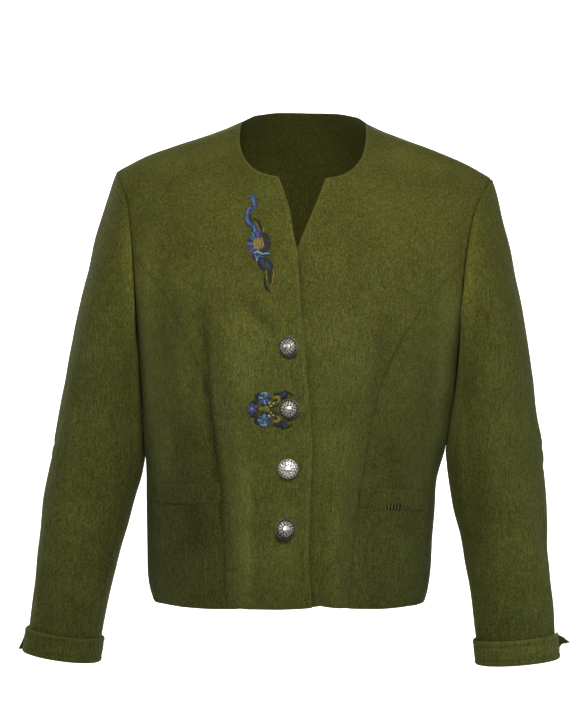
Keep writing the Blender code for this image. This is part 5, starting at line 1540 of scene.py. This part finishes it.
# %% The button's mesh
def button_mesh(name, centre, turn, tilt, patina_and_shade):
    """One button as a closed mesh that faces -Y, its pattern turned by an angle, tilted, and blackened by patina and
    painted shade.
    """
    lift = DEGREE_LIFT * max(abs(a) for a in tilt)
    rings, black = stamped_profile(patina_and_shade, lift)
    foot, tip_height = rings[0][0, 1], DOME[-1][1] - PRESSED_IN + 0.75
    points = [(0.0, foot)] + [tuple(p) for ring in rings for p in ring] + [(0.0, tip_height)]
    angles = np.tile(np.arange(SPOKES) / SPOKES * 2 * math.pi, len(rings))
    angles = np.concatenate([[0.0], angles, [0.0]]) + turn
    values = np.concatenate([[0.55], *black, [0.0]])
    points = np.array(points) / 1000
    x, y, z = centre
    places = np.stack([points[:, 0] * np.cos(angles), -points[:, 1], points[:, 0] * np.sin(angles)], -1)
    sideways, upwards = (Matrix.Rotation(math.radians(a), 3, axis) for a, axis in zip(tilt, "ZX"))
    places = places @ np.array(sideways @ upwards).T + np.array((x, y - lift / 1000, z))
    index = 1 + np.arange(len(rings) * SPOKES).reshape(len(rings), SPOKES)
    following = np.roll(index, -1, axis=1)
    faces = [(0, int(a), int(b)) for a, b in zip(index[0], following[0])]
    for k in range(len(rings) - 1):
        faces += list(zip(index[k].tolist(), index[k + 1].tolist(), following[k + 1].tolist(), following[k].tolist()))
    tip = len(points) - 1
    faces += [(int(a), tip, int(b)) for a, b in zip(index[-1], following[-1])]
    mesh = bpy.data.meshes.new(name)
    mesh.from_pydata(places.tolist(), [], faces)
    solid = bmesh.new()
    solid.from_mesh(mesh)
    bmesh.ops.recalc_face_normals(solid, faces=solid.faces)
    solid.to_mesh(mesh)
    solid.free()
    mesh.attributes.new("hollow", "FLOAT", "POINT").data.foreach_set("value", values.astype(np.float32))
    mesh.polygons.foreach_set("use_smooth", [True] * len(mesh.polygons))
    return mesh


# %% [markdown]
# ## Antique silver
# Silver plate is a metal, so its colour is that of its reflections. Rubbed with a cloth it is
# still finely scratched, at a roughness near 0.25. The black in the hollows is silver sulphide,
# which is hardly metallic and rough. Here and there the plate has dulled to a darker grey.


# %% The silver material
def make_silver():
    """Silvered and blackened brass, bright where it stands proud."""
    material, tree = new_material("antique silver plate")
    where = add_node(tree, "ShaderNodeTexCoord").outputs["Object"]
    rubbed = grains(tree, where, 0.6, detail=4.0)
    stain = grains(tree, where, 3.0, shift=2.0)
    hollow = add_node(tree, "ShaderNodeAttribute", attribute_name="hollow").outputs["Fac"]
    black = add_node(tree, "ShaderNodeMath", [rubbed, 0.5], operation="SUBTRACT").outputs[0]
    black = add_node(tree, "ShaderNodeMath", [black, 0.6, hollow], operation="MULTIPLY_ADD", use_clamp=True).outputs[0]
    bright = add_node(tree, "ShaderNodeValToRGB", [stain], SILVER_TONES).outputs[0]
    both = {0: black, 6: bright, 7: linear("060505")}
    rough = add_node(tree, "ShaderNodeMath", [black, 0.4, 0.2], operation="MULTIPLY_ADD").outputs[0]
    plate = {
        "Base Color": add_node(tree, "ShaderNodeMix", both, data_type="RGBA").outputs[2],
        "Metallic": add_node(tree, "ShaderNodeMath", [black, -0.7, 1.0], operation="MULTIPLY_ADD").outputs[0],
        "Roughness": add_node(tree, "ShaderNodeMath", [rubbed, 0.16, rough], operation="MULTIPLY_ADD").outputs[0],
    }
    shader = add_node(tree, "ShaderNodeBsdfPrincipled", plate)
    add_node(tree, "ShaderNodeOutputMaterial", {"Surface": shader.outputs[0]})
    return material


SILVER_TONES = ((0.35, "b4b2ae"), (0.65, "eeedeb"))
SILVER = make_silver()
print("silver, nodes:", len(SILVER.node_tree.nodes))

# %% Hang the four buttons
SHANK_SUNK = 0.0004  # how far the foot of a shank goes into the cloth
PATTERN_TURN = 0.4  # how far each button's pattern is turned from that of the one above, in radians
# for each button: its tilt sideways and upwards in degrees, and how much of the black stays on the
# plates, as patina and painted shade, of which the third button keeps the least, so it is painted brightest
HANGINGS = (((-22, 3), 0.38), ((-8, 9), 0.38), ((0, 1), -0.30), ((21, -4), 0.42))
for number, (tilt, patina_and_shade) in enumerate(HANGINGS):
    name = f"silver_button_{number + 1}"
    centre = SEATS[number] + (0, SHANK_SUNK, 0)
    button = put_in_scene(name, button_mesh(name, centre, PATTERN_TURN * number, tilt, patina_and_shade))
    button.data.materials.append(SILVER)
    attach(button, "root")
    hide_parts(f"button_{number + 1}")
print("buttons: 4, faces of each:", len(button.data.polygons))

# %% [markdown]

# %% [markdown]
# ## The stage
# The jacket hangs at the height of a person's shoulders, so the floor is 1.4 m below it and the
# backdrop stands well behind. Both are pale and plain. A small warm light close to the chest does
# most of the work, as a flash would, a larger one from the wearer's left shades the folds, and weak
# ones at both sides, above and behind draw the edges out. The pale room adds very little. Only the
# silver needs more of it, so its reflections get a dim room with four soft windows.

# %% The camera
TURN, ROLL, DISTANCE = math.radians(3.7), math.radians(1.45), 2.6
to_camera = Vector((math.sin(TURN), -math.cos(TURN), 0))
sideways = Vector((math.cos(TURN), math.sin(TURN), 0))
aim = Vector((0, 0, -0.275)) + sideways * -0.0109
camera = put_in_scene("camera", bpy.data.cameras.new("camera"))
camera.data.lens, camera.data.sensor_width, camera.data.sensor_fit = 112, 36, "AUTO"
turned = (-to_camera).to_track_quat("-Z", "Y").to_matrix().to_4x4() @ Matrix.Rotation(ROLL, 4, "Z")
camera.matrix_world = Matrix.Translation(aim + to_camera * DISTANCE) @ turned
bpy.context.scene.camera = camera
bpy.context.scene.view_settings.view_transform = "Standard"
print("camera at:", [round(c, 3) for c in camera.matrix_world.translation])

# %% The floor and the backdrop
GLOW = 0.72  # how much of its own light the paper shows to the camera alone
# name, corners, colour
STAGE = (
    ("floor", ((-9, -9, -1.4), (9, -9, -1.4), (9, 9, -1.4), (-9, 9, -1.4)), "f2f2ef"),
    ("backdrop", ((-9, 5, -1.4), (9, 5, -1.4), (9, 5, 6), (-9, 5, 6)), "f6f7f3"),
)
for name, corners, code in STAGE:
    mesh = bpy.data.meshes.new(name)
    mesh.from_pydata(corners, [], [(0, 1, 2, 3)])
    material, tree = new_material(name)
    seen = add_node(tree, "ShaderNodeLightPath").outputs["Is Camera Ray"]
    paper = {
        "Base Color": linear(code),
        "Roughness": 0.9,
        "Emission Color": linear(code),
        "Emission Strength": add_node(tree, "ShaderNodeMath", [seen, GLOW], operation="MULTIPLY").outputs[0],
    }
    shader = add_node(tree, "ShaderNodeBsdfPrincipled", paper)
    add_node(tree, "ShaderNodeOutputMaterial", {"Surface": shader.outputs[0]})
    mesh.materials.append(material)
    put_in_scene(name, mesh)
print("stage pieces:", len(STAGE))

# %% The lamps
JACKET, WALL = (0, 0, -0.3), (0, 5, 0.2)
# name, place, size, power, what it looks at, colour
LAMPS = (
    ("key", (0.05, -0.80, 0.10), 0.25, 4.0, JACKET, "fff8da"),
    ("side", (0.85, -1.25, 0.7), 0.6, 3.0, JACKET, "fffdf2"),
    ("beside_right", (-1.9, -0.30, 0.0), 0.8, 6, JACKET, "ffffff"),
    ("beside_left", (1.9, -0.30, -0.1), 0.8, 6, JACKET, "ffffff"),
    ("overhead", (0, -0.35, 1.3), 0.7, 1.6, JACKET, "ffffff"),
    ("behind_right", (-1.7, 1.5, 0.6), 0.8, 20, JACKET, "ffffff"),
    ("behind_left", (1.1, 2.1, 0.4), 0.8, 11, JACKET, "ffffff"),
    ("backdrop_light", (0, 2.6, 1.6), 3.0, 170, WALL, "ffffff"),
)
for name, place, size, power, goal, code in LAMPS:
    lamp = put_in_scene(name, bpy.data.lights.new(name, "AREA"))
    lamp.data.shape, lamp.data.size, lamp.data.energy = "SQUARE", size, power
    lamp.data.color = linear(code)[:3]
    lamp.location = place
    lamp.rotation_euler = (Vector(goal) - Vector(place)).to_track_quat("-Z", "Y").to_euler()
print("lamps:", len(LAMPS))

# %% The room
ROOM_LIGHT = 0.05  # what the room adds all round
ROOM_DIM = 0.05  # how bright it is in the silver's reflections, apart from its windows
# windows that the silver reflects: direction, where they start and are full, as cosines, and how bright they are
ROOM_WINDOWS = (
    ((0.03, -1, -0.02), 0.80, 0.97, 3.6),
    ((0.87, -0.50, 0.15), 0.86, 0.97, 0.7),
    ((-0.87, -0.50, 0.15), 0.86, 0.97, 0.7),
    ((0.3, -0.45, 0.85), 0.86, 0.96, 0.4),
)
ROOM_SEEN = 0.98  # how bright it is to the camera
room = bpy.data.worlds.new("pale room")
bpy.context.scene.world = room
room.use_nodes = True
tree = room.node_tree
towards = add_node(tree, "ShaderNodeTexCoord").outputs["Generated"]
in_mirror = ROOM_DIM
for direction, low, high, power in ROOM_WINDOWS:
    both = [towards, Vector(direction).normalized()]
    level = add_node(tree, "ShaderNodeVectorMath", both, operation="DOT_PRODUCT").outputs["Value"]
    reach = {"Value": level, "From Min": low, "From Max": high, "To Max": power}
    window = add_node(tree, "ShaderNodeMapRange", reach, interpolation_type="SMOOTHSTEP").outputs[0]
    in_mirror = add_node(tree, "ShaderNodeMath", [in_mirror, window], operation="ADD").outputs[0]
strength = ROOM_LIGHT
for ray, there in (("Is Glossy Ray", in_mirror), ("Is Camera Ray", ROOM_SEEN)):
    share = add_node(tree, "ShaderNodeLightPath").outputs[ray]
    more = add_node(tree, "ShaderNodeMath", [there, strength], operation="SUBTRACT").outputs[0]
    strength = add_node(tree, "ShaderNodeMath", [share, more, strength], operation="MULTIPLY_ADD").outputs[0]
tree.nodes["Background"].inputs["Color"].default_value = linear("fcfdf9")
tree.links.new(strength, tree.nodes["Background"].inputs["Strength"])
print("windows in the room:", len(ROOM_WINDOWS))
